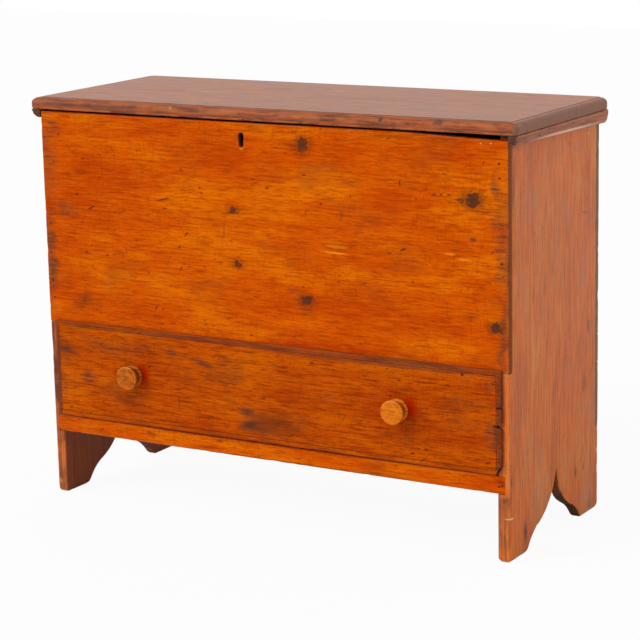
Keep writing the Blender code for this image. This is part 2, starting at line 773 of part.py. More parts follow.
def make_lock(front_board, lid):
    """Lock case let into the front board, its sliding bolt, and the staple in the lid."""
    half = LOCK_WIDTH / 2
    left = KEYHOLE_X - half
    right = KEYHOLE_X + half
    bottom = LOCK_TOP - LOCK_HEIGHT
    case = block(
        "lock_case", (left, LOCK_OUTER_Y, bottom), (right, LOCK_BACK_Y, LOCK_TOP), IRON
    )
    mortise = block(
        "lock_mortise",
        (left - SEAT, LOCK_OUTER_Y - SEAT, bottom - SEAT),
        (right + SEAT, FRONT_INNER + CUT_PAST, LOCK_TOP + CUT_PAST),
        collection=CUTTERS,
    )
    inner_front = LOCK_OUTER_Y + LOCK_WALL
    inner_back = LOCK_BACK_Y - LOCK_WALL
    channel_left = left + LOCK_WALL
    channel = block(
        "lock_channel",
        (channel_left, inner_front, LOCK_CHANNEL_FLOOR),
        (right - LOCK_WALL, inner_back, LOCK_CHANNEL_TOP),
        collection=CUTTERS,
    )
    half_chamber = LOCK_CHAMBER_WIDTH / 2
    chamber = block(
        "lock_chamber",
        (KEYHOLE_X - half_chamber, inner_front, bottom + LOCK_WALL),
        (KEYHOLE_X + half_chamber, inner_back, LOCK_CHANNEL_FLOOR + CUT_PAST),
        collection=CUTTERS,
    )
    staple_x = KEYHOLE_X + STAPLE_X
    slot_half = STAPLE_THICKNESS / 2 + STAPLE_SLOT_PLAY
    slot = block(
        "lock_slot",
        (staple_x - slot_half, inner_front, LOCK_CHANNEL_TOP - CUT_PAST),
        (staple_x + slot_half, inner_back, LOCK_TOP + CUT_PAST),
        collection=CUTTERS,
    )
    keyhole_front = CASE_FRONT - CUT_PAST
    keyhole = slab(
        "keyhole",
        [keyhole_outline()],
        inner_front + SEAT - keyhole_front,
        (0, (keyhole_front + inner_front + SEAT) / 2, 0),
        FACE_FRONT,
        None,
        CUTTERS,
    )
    cut(front_board, mortise, keyhole)
    cut(case, channel, chamber, slot, keyhole)

    loop_low = LOCK_CHANNEL_FLOOR + STAPLE_PLAY
    loop_x = STAPLE_THICKNESS / 2
    loop_y = LOCK_INNER_DEPTH / 2 - STAPLE_PLAY
    eye_y = loop_y - STAPLE_LEG

    channel_middle = (LOCK_CHANNEL_FLOOR + LOCK_CHANNEL_TOP) / 2
    bolt_left = channel_left + SEAT
    tail_y = LOCK_INNER_DEPTH / 2 - SEAT
    tail_z = LOCK_CHANNEL_HEIGHT / 2 - SEAT
    nose_y = eye_y - BOLT_NOSE_PLAY
    nose_z = BOLT_NOSE_HEIGHT / 2
    nose_end = staple_x - loop_x - BOLT_STAPLE_GAP - bolt_left
    bolt = stack(
        "lock_bolt",
        [
            (0, -tail_y, tail_y, -tail_z, tail_z),
            (BOLT_TAIL_LENGTH, -tail_y, tail_y, -tail_z, tail_z),
            (BOLT_TAIL_LENGTH, -nose_y, nose_y, -nose_z, nose_z),
            (nose_end, -nose_y, nose_y, -nose_z, nose_z),
        ],
        (bolt_left, LOCK_MIDDLE_Y, channel_middle),
        FACE_RIGHT,
        IRON,
    )

    plate_x = STAPLE_PLATE_LENGTH / 2
    plate_y = STAPLE_PLATE_WIDTH / 2
    plate_top = LID_BOTTOM + STAPLE_PLATE_THICKNESS
    staple = stack(
        "lock_staple",
        [
            (loop_low, -loop_x, loop_x, -loop_y, loop_y),
            (LID_BOTTOM, -loop_x, loop_x, -loop_y, loop_y),
            (LID_BOTTOM, -plate_x, plate_x, -plate_y, plate_y),
            (plate_top, -plate_x, plate_x, -plate_y, plate_y),
        ],
        (staple_x, LOCK_MIDDLE_Y, 0),
        FACE_UP,
        IRON,
    )
    eye = block(
        "staple_eye",
        (staple_x - loop_x - CUT_PAST, LOCK_MIDDLE_Y - eye_y, loop_low + STAPLE_BAR),
        (staple_x + loop_x + CUT_PAST, LOCK_MIDDLE_Y + eye_y, LOCK_CHANNEL_TOP),
        collection=CUTTERS,
    )
    cut(staple, eye)
    plate_pocket = block(
        "staple_pocket",
        (staple_x - plate_x - SEAT, LOCK_MIDDLE_Y - plate_y - SEAT, LID_BOTTOM - CUT_PAST),
        (staple_x + plate_x + SEAT, LOCK_MIDDLE_Y + plate_y + SEAT, plate_top + SEAT),
        collection=CUTTERS,
    )
    cut(lid, plate_pocket)
    return bolt, staple


def case_leaf_outline():
    """Section of the case leaf: a strip down the back, rolled round the pin."""
    radius = HINGE_BARREL_RADIUS
    strip_in = HINGE_AXIS_Y - radius
    strip_out = strip_in + HINGE_LEAF_THICKNESS
    low = HINGE_AXIS_Z - HINGE_CASE_LEAF_REACH
    start = 180 + math.degrees(math.acos((radius - HINGE_LEAF_THICKNESS) / radius))
    roll = around((HINGE_AXIS_Y, HINGE_AXIS_Z), radius, start - 360, 180, HINGE_ARC_STEPS)
    return [(strip_in, low), (strip_out, low)] + roll


def lid_leaf_outline():
    """Section of the lid leaf: a strip forward under the lid, rolled round the pin."""
    radius = HINGE_BARREL_RADIUS
    half = HINGE_LEAF_THICKNESS / 2
    front = HINGE_AXIS_Y - HINGE_LID_LEAF_REACH
    turn = math.degrees(math.asin(half / radius))
    roll = around(
        (HINGE_AXIS_Y, HINGE_AXIS_Z), radius, turn - 180, 180 - turn, HINGE_ARC_STEPS
    )
    return [(front, HINGE_AXIS_Z + half), (front, HINGE_AXIS_Z - half)] + roll


def make_hinges(lid, back_board):
    """Two three-knuckle butt hinges; the case leaf has the outer knuckles."""
    bore = around(
        (HINGE_AXIS_Y, HINGE_AXIS_Z), HINGE_BORE_RADIUS, 360, 360 / HINGE_BORE_STEPS,
        HINGE_BORE_STEPS - 1,
    )
    clear = HINGE_BARREL_RADIUS + HINGE_KNUCKLE_GAP
    half_knuckle = HINGE_KNUCKLE / 2
    half_length = HINGE_LENGTH / 2
    lid_pieces = []
    for side, sign in SIDES.items():
        x = sign * HINGE_X
        case_leaf = slab(
            f"hinge_case_leaf_{side}",
            [case_leaf_outline(), bore],
            HINGE_LENGTH,
            (x, 0, 0),
            FACE_RIGHT,
            IRON,
        )
        lid_leaf = slab(
            f"hinge_lid_leaf_{side}",
            [lid_leaf_outline(), bore],
            HINGE_LENGTH,
            (x, 0, 0),
            FACE_RIGHT,
            IRON,
        )
        middle_gap = block(
            f"hinge_middle_gap_{side}",
            (x - half_knuckle - HINGE_KNUCKLE_GAP, HINGE_AXIS_Y - clear, HINGE_AXIS_Z - clear),
            (x + half_knuckle + HINGE_KNUCKLE_GAP, HINGE_AXIS_Y + clear, HINGE_AXIS_Z + clear),
            collection=CUTTERS,
        )
        cut(case_leaf, middle_gap)
        for end in (-1, 1):
            edges = sorted((x + end * half_knuckle, x + end * (half_length + CUT_PAST)))
            outer_gap = block(
                f"hinge_outer_gap_{side}_{'left' if end < 0 else 'right'}",
                (edges[0], HINGE_AXIS_Y - clear, HINGE_AXIS_Z - clear),
                (edges[1], HINGE_AXIS_Y + clear, HINGE_AXIS_Z + clear),
                collection=CUTTERS,
            )
            cut(lid_leaf, outer_gap)

        pin_end = half_length + SEAT
        pin = [
            (0, pin_end + HINGE_PIN_HEAD),
            (HINGE_PIN_HEAD_RADIUS, pin_end + HINGE_PIN_HEAD),
            (HINGE_PIN_HEAD_RADIUS, pin_end),
            (HINGE_PIN_RADIUS, pin_end),
            (HINGE_PIN_RADIUS, -pin_end),
            (0, -pin_end),
        ]
        turned(
            f"hinge_pin_{side}",
            pin,
            SCREW_STEPS,
            (x, HINGE_AXIS_Y, HINGE_AXIS_Z),
            FACE_RIGHT,
            IRON,
        )

        leaf_front = HINGE_AXIS_Y - HINGE_LID_LEAF_REACH
        leaf_pocket = block(
            f"hinge_pocket_{side}",
            (x - half_length - SEAT, leaf_front - SEAT, LID_BOTTOM - CUT_PAST),
            (
                x + half_length + SEAT,
                CASE_BACK + CUT_PAST,
                LID_BOTTOM + HINGE_LEAF_THICKNESS + SEAT,
            ),
            collection=CUTTERS,
        )
        cut(lid, leaf_pocket)

        case_face = HINGE_AXIS_Y - HINGE_BARREL_RADIUS + HINGE_LEAF_THICKNESS
        case_screw_z = HINGE_AXIS_Z - HINGE_CASE_LEAF_REACH + HINGE_SCREW_MARGIN
        lid_screw_y = leaf_front + HINGE_SCREW_MARGIN
        for number, end in enumerate((-1, 1), start=1):
            screw_x = x + end * HINGE_SCREW_X
            places = {
                "case": ((screw_x, case_face, case_screw_z), FACE_BACK, case_leaf, back_board),
                "lid": ((screw_x, lid_screw_y, LID_BOTTOM), FACE_DOWN, lid_leaf, lid),
            }
            for kind, (place, turn, leaf, wood) in places.items():
                name = f"hinge_{kind}_screw_{side}_{number}"
                screw = turned(name, screw_profile(), SCREW_STEPS, place, turn, IRON)
                hole_profile = screw_profile(SEAT, CUT_PAST)
                hole = turned(
                    name + "_hole", hole_profile, SCREW_STEPS, place, turn, None, CUTTERS
                )
                cut(leaf, hole)
                cut(wood, hole)
                if kind == "lid":
                    lid_pieces.append(screw)
        lid_pieces.append(lid_leaf)
    return lid_pieces


def make_nails(ends, front_board, rail, backs, back_spans, cleats, lid):
    """Nails that hold the front board, the rail, the back boards and the cleats."""
    for side, sign in SIDES.items():
        end_x = sign * (HALF_WIDTH - END_THICKNESS / 2)
        heights = (
            FRONT_BOARD_BOTTOM + FRONT_NAIL_LOW_MARGIN,
            FRONT_BOARD_BOTTOM + FRONT_NAIL_MIDDLE_RISE,
            FRONT_TOP - FRONT_NAIL_TOP_MARGIN,
        )
        names = [f"front_nail_{side}_{i}" for i in range(1, len(heights) + 1)]
        places = [(end_x, CASE_FRONT, height) for height in heights]
        holes = nails(names, places, FACE_FRONT)
        cut(front_board, *holes)
        cut(ends[side], *holes)

        rail_x = sign * (INNER_HALF + RAIL_LET_IN / 2)
        heights = (RAIL_BOTTOM + RAIL_NAIL_MARGIN, RAIL_TOP - RAIL_NAIL_MARGIN)
        names = [f"rail_nail_{side}_{i}" for i in range(1, len(heights) + 1)]
        places = [(rail_x, LEG_FRONT, height) for height in heights]
        holes = nails(names, places, FACE_FRONT)
        cut(rail, *holes)
        cut(ends[side], *holes)

        upper_low, upper_high = back_spans["upper"]
        heights = [
            (sum(back_spans["lower"]) / 2, backs["lower"]),
            (sum(back_spans["middle"]) / 2, backs["middle"]),
            (upper_low + BACK_NAIL_MARGIN, backs["upper"]),
            (upper_high - BACK_NAIL_MARGIN, backs["upper"]),
        ]
        for i, (height, board) in enumerate(heights, start=1):
            place = (end_x, CASE_BACK, height)
            holes = nails([f"back_nail_{side}_{i}"], [place], FACE_BACK)
            cut(board, *holes)
            cut(ends[side], *holes)

    lid_nails = []
    cleat_front = CASE_FRONT - LID_FRONT_OVERHANG + CLEAT_SETBACK
    ends_y = (cleat_front + CLEAT_NAIL_MARGIN, CASE_BACK - CLEAT_NAIL_MARGIN)
    for side, sign in SIDES.items():
        thickness = LID_END_OVERHANG - CLEAT_CLEARANCE
        x = sign * (HALF_WIDTH + CLEAT_CLEARANCE + thickness / 2)
        for i, y in enumerate(ends_y, start=1):
            deep = cleat_height(y)
            name = f"cleat_nail_{side}_{i}"
            place = (x, y, LID_BOTTOM - SEAT - deep)
            holes = nails([name], [place], FACE_DOWN, deep + CLEAT_NAIL_BITE)
            cut(cleats[side], *holes)
            cut(lid, *holes)
            lid_nails.append(bpy.data.objects[name])
    return lid_nails


def carry(name, pivot, pieces):
    """Empty on a joint's axis that carries the pieces which move with it."""
    empty = bpy.data.objects.new(name, None)
    PARTS.objects.link(empty)
    empty.location = pivot
    for piece in pieces:
        piece.parent = empty
        piece.location = [a - b for a, b in zip(piece.location, pivot)]


def main():
    ends = make_end_boards()
    front_board = make_front_board()
    rail = make_rail()
    make_floor()
    backs, back_spans = make_back_boards()
    make_runners()
    lid = make_lid()
    cleats = make_cleats()
    drawer_front, drawer_pieces = make_drawer()
    knobs = make_knobs(drawer_front)
    bolt, staple = make_lock(front_board, lid)
    hinge_pieces = make_hinges(lid, backs["upper"])
    lid_nails = make_nails(ends, front_board, rail, backs, back_spans, cleats, lid)

    lid_pieces = [lid, staple, *cleats.values(), *hinge_pieces, *lid_nails]
    carry("lid_hinge_axis", (0, HINGE_AXIS_Y, HINGE_AXIS_Z), lid_pieces)
    carry("drawer_slide_axis", (0, LIP_BACK, DRAWER_BASE), drawer_pieces + knobs)
    carry("lock_bolt_axis", tuple(bolt.location), [bolt])


main()
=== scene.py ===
"""Looks of a small country mule chest of pine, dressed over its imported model.

The boards are made again with eased and worn arrises, the lid and the drawer with their mouldings, the
knobs turned more finely, and the nails and screws set in their holes. The finishes are old shellac over
pine, darkened bare pine inside, and dark iron. Sizes are in metres, with +Z up and the front towards -Y.
"""

import logging
import math
from collections.abc import Callable, Sequence
from dataclasses import dataclass, replace
from enum import Enum

import bmesh
import bpy
from mathutils import Euler, Matrix, Vector, noise


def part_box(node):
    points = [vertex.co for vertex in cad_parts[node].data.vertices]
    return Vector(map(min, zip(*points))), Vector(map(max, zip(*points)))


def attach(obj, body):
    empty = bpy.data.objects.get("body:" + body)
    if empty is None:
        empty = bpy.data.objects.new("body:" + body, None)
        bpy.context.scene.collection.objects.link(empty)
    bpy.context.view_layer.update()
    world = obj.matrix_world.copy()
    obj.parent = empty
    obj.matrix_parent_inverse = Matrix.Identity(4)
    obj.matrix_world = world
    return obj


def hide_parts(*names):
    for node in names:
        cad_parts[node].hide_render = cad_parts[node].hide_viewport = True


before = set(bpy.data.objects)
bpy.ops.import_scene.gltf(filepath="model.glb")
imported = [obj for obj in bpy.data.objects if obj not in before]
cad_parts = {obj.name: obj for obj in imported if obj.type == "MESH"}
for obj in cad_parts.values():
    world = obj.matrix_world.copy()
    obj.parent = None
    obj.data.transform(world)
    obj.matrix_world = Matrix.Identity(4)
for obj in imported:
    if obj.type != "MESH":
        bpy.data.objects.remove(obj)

Flat = tuple[float, float]
Place = tuple[float, float, float]
Colour = tuple[float, float, float, float]
Row = tuple[float, ...]

LOG = logging.getLogger("mule_chest")
MILLIMETRES = 1000
SHARP_ANGLE = math.radians(38)
SIDES = {"left": -1, "right": 1}
# Gap that a piece keeps in its housing
SEAT = 0.0003
# How far a cutter stands out of the face that it cuts
OVERCUT = 0.002
# Waves in a metre of the roughness of a splinter, its height, and its shift along X, Y and Z
SPLINTER_WAVES = 260
SPLINTER_HEIGHT = 0.0006
SPLINTER_SHIFTS = (0.0, 17.3, 31.7)


class Axis(Enum):
    """One of the three directions of the chest."""

    X = 0
    Y = 1
    Z = 2


class Side(Enum):
    """One side of a rectangle seen from its face."""

    LEFT = "left"
    RIGHT = "right"
    LOW = "low"
    HIGH = "high"


def srgb(red: float, green: float, blue: float) -> Colour:
    """Turn a colour written in steps of 0 to 255 into the linear numbers of a shader.

    Args:
        red: Red, from 0 to 255.
        green: Green, from 0 to 255.
        blue: Blue, from 0 to 255.

    Returns:
        The colour with full alpha.
    """
    linear = []
    for step in (red, green, blue):
        share = step / 255
        linear.append(share / 12.92 if share <= 0.04045 else ((share + 0.055) / 1.055) ** 2.4)
    return (linear[0], linear[1], linear[2], 1.0)


def located(faces: Axis, point: Flat, level: float) -> Place:
    """A point of the chest from its place on a flat face.

    Args:
        faces: Direction that the face looks in.
        point: Place on the face, along the other two directions.
        level: Place of the face itself.

    Returns:
        The point.
    """
    place = list(point)
    place.insert(faces.value, level)
    return tuple(place)


# Nodes and their maths


def operator(operation: str, swapped: bool = False) -> "Callable[[Wire, Wire | float], Wire]":
    """Make an operator for wires, which adds a Math node.

    Args:
        operation: The node's operation.
        swapped: Whether the other value comes first.

    Returns:
        The operator.
    """

    def apply(wire: "Wire", other: "Wire | float") -> "Wire":
        """Add the node."""
        return wire.nodes.maths(operation, *((other, wire) if swapped else (wire, other)))

    return apply


class Wire:
    """An output socket that takes part in sums, with low and high for the smaller and larger value."""

    __add__ = operator("ADD")
    __radd__ = operator("ADD", True)
    __sub__ = operator("SUBTRACT")
    __rsub__ = operator("SUBTRACT", True)
    __mul__ = operator("MULTIPLY")
    __rmul__ = operator("MULTIPLY", True)
    __truediv__ = operator("DIVIDE")
    low = operator("MINIMUM")
    high = operator("MAXIMUM")

    def __init__(self, nodes: "Nodes", socket: bpy.types.NodeSocket) -> None:
        """Keep the socket and the nodes that it belongs to."""
        self.nodes = nodes
        self.socket = socket

    def part(self) -> "Wire":
        """What is left after the point."""
        return self.nodes.maths("FRACT", self)

    def size(self) -> "Wire":
        """The value without its sign."""
        return self.nodes.maths("ABSOLUTE", self)

    def rise(self, start: float, end: float, top: float = 1.0) -> "Wire":
        """Smooth step from 0 to a top.

        Args:
            start: Where it is 0.
            end: Where it reaches its top, which may lie below the start.
            top: Its top.

        Returns:
            The step.
        """
        ends = {"From Min": start, "From Max": end, "To Min": 0.0, "To Max": top}
        if start > end:
            ends = {"From Min": end, "From Max": start, "To Min": top, "To Max": 0.0}
        settings = {"interpolation_type": "SMOOTHSTEP", "clamp": False}
        return self.nodes.wire("ShaderNodeMapRange", settings, {"Value": self, **ends}, "Result")


class Nodes:
    """The nodes of one tree, added one at a time."""

    def __init__(self, tree: bpy.types.NodeTree) -> None:
        """Start with an empty tree."""
        self.tree = tree
        tree.nodes.clear()

    def node(self, kind: str, settings: dict | None = None, inputs: dict | None = None) -> bpy.types.Node:
        """Add a node, with its settings first and then its sockets.

        Args:
            kind: Blender's name of the node's type.
            settings: Values of the node's own settings.
            inputs: A value or a wire for each socket, by the socket's name or number.

        Returns:
            The node.
        """
        node = self.tree.nodes.new(kind)
        for name, value in (settings or {}).items():
            setattr(node, name, value)
        for key, value in (inputs or {}).items():
            if isinstance(value, Wire):
                self.tree.links.new(value.socket, node.inputs[key])
            else:
                node.inputs[key].default_value = value
        return node

    def wire(
        self, kind: str, settings: dict | None = None, inputs: dict | None = None, output: str | int = 0
    ) -> Wire:
        """Add a node and take one of its outputs."""
        return Wire(self, self.node(kind, settings, inputs).outputs[output])

    def maths(self, operation: str, *values: Wire | float) -> Wire:
        """A Math node on one or two values."""
        return self.wire("ShaderNodeMath", {"operation": operation}, dict(enumerate(values)))

    def vector(self, x: Wire | float = 0.0, y: Wire | float = 0.0, z: Wire | float = 0.0) -> Wire:
        """One vector from three values."""
        return self.wire("ShaderNodeCombineXYZ", None, {"X": x, "Y": y, "Z": z})

    def vectors(self, operation: str, *values: Wire | Place, output: str = "Vector") -> Wire:
        """A Vector Math node on one or two vectors."""
        settings = {"operation": operation}
        return self.wire("ShaderNodeVectorMath", settings, dict(enumerate(values)), output)


class Shade(Nodes):
    """The nodes of one material."""

    def __init__(self, name: str) -> None:
        """Start an empty material.

        Args:
            name: Name of the material.
        """
        self.material = bpy.data.materials.new(name)
        self.material.use_nodes = True
        super().__init__(self.material.node_tree)

    def here(self, kind: str = "Object") -> Wire:
        """Where a point is in the chest, or another of its coordinates by name."""
        return self.wire("ShaderNodeTexCoord", None, None, kind)

    def parts(self, vector: Wire) -> list[Wire]:
        """The three values of a vector."""
        node = self.node("ShaderNodeSeparateXYZ", None, {0: vector})
        return [Wire(self, socket) for socket in node.outputs]

    def mix(self, share: Wire | float, first: Wire | Colour, second: Wire | Colour) -> Wire:
        """A colour between two colours, at a share from 0 to 1."""
        settings = {"data_type": "RGBA", "clamp_factor": True}
        return self.wire("ShaderNodeMix", settings, {0: share, 6: first, 7: second}, 2)

    def noise(self, point: Wire, stretch: Place, detail: float = 2.0, rough: float = 0.5) -> Wire:
        """Smooth noise from 0 to 1.

        Args:
            point: Where the noise is read.
            stretch: Waves in a metre, along each direction.
            detail: Finer layers that are added.
            rough: How strong the finer layers are.

        Returns:
            The noise.
        """
        place = self.vectors("MULTIPLY", point, stretch)
        inputs = {"Vector": place, "Scale": 1.0, "Detail": detail, "Roughness": rough}
        return self.wire("ShaderNodeTexNoise", None, inputs)

    def cells(self, point: Wire, stretch: Place) -> tuple[Wire, Wire, Wire]:
        """Scattered points.

        Args:
            point: Where they are read.
            stretch: Points in a metre, along each direction.

        Returns:
            The distance to the nearest point, and two random values of its own.
        """
        place = self.vectors("MULTIPLY", point, stretch)
        node = self.node("ShaderNodeTexVoronoi", None, {"Vector": place, "Scale": 1.0})
        chances = self.node("ShaderNodeSeparateColor", None, {"Color": Wire(self, node.outputs["Color"])})
        return tuple(Wire(self, socket) for socket in (node.outputs["Distance"], *chances.outputs[:2]))

    def placed(self, point: Wire, middle: Place, reach: Place, turn: float = 0.0) -> Wire:
        """Distance from a place, as a share of a reach.

        Args:
            point: The point.
            middle: The place.
            reach: The reach along each direction.
            turn: How far the reach is turned, in degrees.

        Returns:
            The distance.
        """
        if turn:
            turned = (0, 0, math.radians(turn))
            inputs = {"Vector": point, "Location": middle, "Rotation": turned, "Scale": reach}
            place = self.wire("ShaderNodeMapping", {"vector_type": "TEXTURE"}, inputs)
        else:
            shrink = tuple(1 / side for side in reach)
            shift = tuple(-start / side for start, side in zip(middle, reach))
            place = self.vectors("MULTIPLY_ADD", point, shrink, shift)
        return self.vectors("LENGTH", place, output="Value")

    def worn(self) -> Wire:
        """How worn a place is, or how darkened where it is below 0, as the piece's own mesh says."""
        return self.wire("ShaderNodeAttribute", {"attribute_name": "wear"}, None, "Fac")

    def finish(
        self, colour: Wire, rough: Wire, bump: Wire, depth: float, **others: Wire | float
    ) -> bpy.types.Material:
        """Close the material with a surface shader.

        Args:
            colour: Base colour.
            rough: Roughness.
            bump: Height of the surface, from 0 to 1.
            depth: Real height that a bump of 1 stands for, in metres.
            **others: Values of other sockets, with _ for a space in their names.

        Returns:
            The material.
        """
        normal = self.wire("ShaderNodeBump", None, {"Distance": depth, "Height": bump})
        inputs = {"Base Color": colour, "Roughness": rough, "Normal": normal}
        inputs.update({name.replace("_", " "): value for name, value in others.items()})
        self.close(self.wire("ShaderNodeBsdfPrincipled", None, inputs))
        return self.material

    def close(self, surface: Wire) -> None:
        """Show a surface shader as the material."""
        self.node("ShaderNodeOutputMaterial", None, {"Surface": surface})


# Finishes


@dataclass(frozen=True)
class Mark:
    """A stain, ding, hole or scratch on a board, or a painted highlight or shadow.

    Attributes:
        middle: Its place in the chest's own coordinates.
        reach: How far it reaches along and across the grain.
        colour: Its colour.
        strength: How much of its colour shows.
        turn: How far it turns from the grain, in degrees.
        dent: How deep it lies, as a share of the board's bump.
        soft: Share of the reach over which it fades.
        depth: How far it reaches through the board.
    """

    middle: Place
    reach: Flat
    colour: Colour
    strength: float = 0.8
    turn: float = 0.0
    dent: float = 0.0
    soft: float = 0.6
    depth: float = 0.006

    def clouded(self) -> bool:
        """Whether it is a wide smudge with no clear outline."""
        return min(self.reach) > 0.0075 and not self.dent


def marks_on(faces: Axis, level: float, groups: dict[Colour, Sequence[Row]]) -> list[Mark]:
    """Marks on a flat face, written as rows of numbers.

    Args:
        faces: Direction that the face looks in.
        level: Place of the face along that direction.
        groups: Rows of each colour. A row is a mark's place on the face and its reach, in millimetres,
            and then its strength, turn, dent, softness and depth as far as they are given.

    Returns:
        The marks.
    """
    marks = []
    for colour, rows in groups.items():
        for first, second, along, across, *others in rows:
            middle = located(faces, (first / MILLIMETRES, second / MILLIMETRES), level)
            reach = (along / MILLIMETRES, across / MILLIMETRES)
            marks.append(Mark(middle, reach, colour, *others))
    return marks


@dataclass(frozen=True)
class Knot:
    """A knot, which the grain bends round.

    Attributes:
        middle: Its place in the chest's own coordinates.
        reach: Its half lengths along and across the grain.
        strength: How dark it is.
        swirl: How far it pushes the rings aside, in metres.
    """

    middle: Place
    reach: Flat
    strength: float = 0.85
    swirl: float = 0.004


@dataclass(frozen=True)
class Pine:
    """Old pine under a finish.

    Attributes:
        name: What it is called.
        early: Soft part of a growth ring.
        late: Hard dark line of a ring.
        streak: Streaks along the grain.
        pale: Lighter patches.
        dark: Dirt, dents and darkened grooves.
        dust: Haze that lies on it in clouds.
        end: End grain.
        rubbed: Worn arrises.
        knot: Hearts of knots.
        halo: Wood round a knot.
        run: How many streaks follow one another in a metre.
        ring_gap: Distance between growth rings.
        rings: Strength of the rings.
        mottle: Strength of lighter and deeper patches.
        streaks: Strength of the streaks.
        hatch: Strength of the fine lines across the grain.
        specks: Strength of small dents and pores.
        haze: Strength of the haze.
        rubbing: Strength of the wear on arrises.
        rough: Roughness.
        gloss: Strength of the reflection, where 0.5 is plain.
        bump: Real depth of the grain.
    """

    name: str
    early: Colour
    late: Colour
    streak: Colour
    pale: Colour
    dark: Colour
    dust: Colour
    end: Colour
    rubbed: Colour
    knot: Colour = srgb(84, 50, 36)
    halo: Colour = srgb(116, 52, 14)
    run: float = 20.0
    ring_gap: float = 0.0034
    rings: float = 0.25
    mottle: float = 0.75
    streaks: float = 0.6
    hatch: float = 0.16
    specks: float = 0.8
    haze: float = 0.3
    rubbing: float = 0.6
    rough: float = 0.45
    gloss: float = 0.5
    bump: float = 0.0003


@dataclass(frozen=True)
class Band:
    """A strip along some edges of a board, such as a moulding, with a mottled colour of its own.

    Attributes:
        edges: Place of each edge, by its side: left and right along the grain, low and high across it.
        width: How wide the strip is.
        colour: Its darker colour.
        pale: Its lighter colour.
        strength: How much of it shows.
    """

    edges: dict[Side, float]
    width: float
    colour: Colour
    pale: Colour
    strength: float = 0.8


@dataclass(frozen=True)
class Inner:
    """The side of a board that faces inwards.

    Attributes:
        start: Place along the thickness where the outer finish ends.
        end: Place along the thickness where the inner side begins.
        above: Height above which the side is bare.
        under: Colour of the side below that height, if it isn't the outer one.
    """

    start: float
    end: float
    above: float = -1.0
    under: Colour | None = None


@dataclass(frozen=True)
class Sawing:
    """Sawn edges left rough and dark.

    Attributes:
        below: Height below which they lie.
        behind: Place behind which they lie.
        colour: Their colour.
    """

    below: float
    behind: float
    colour: Colour


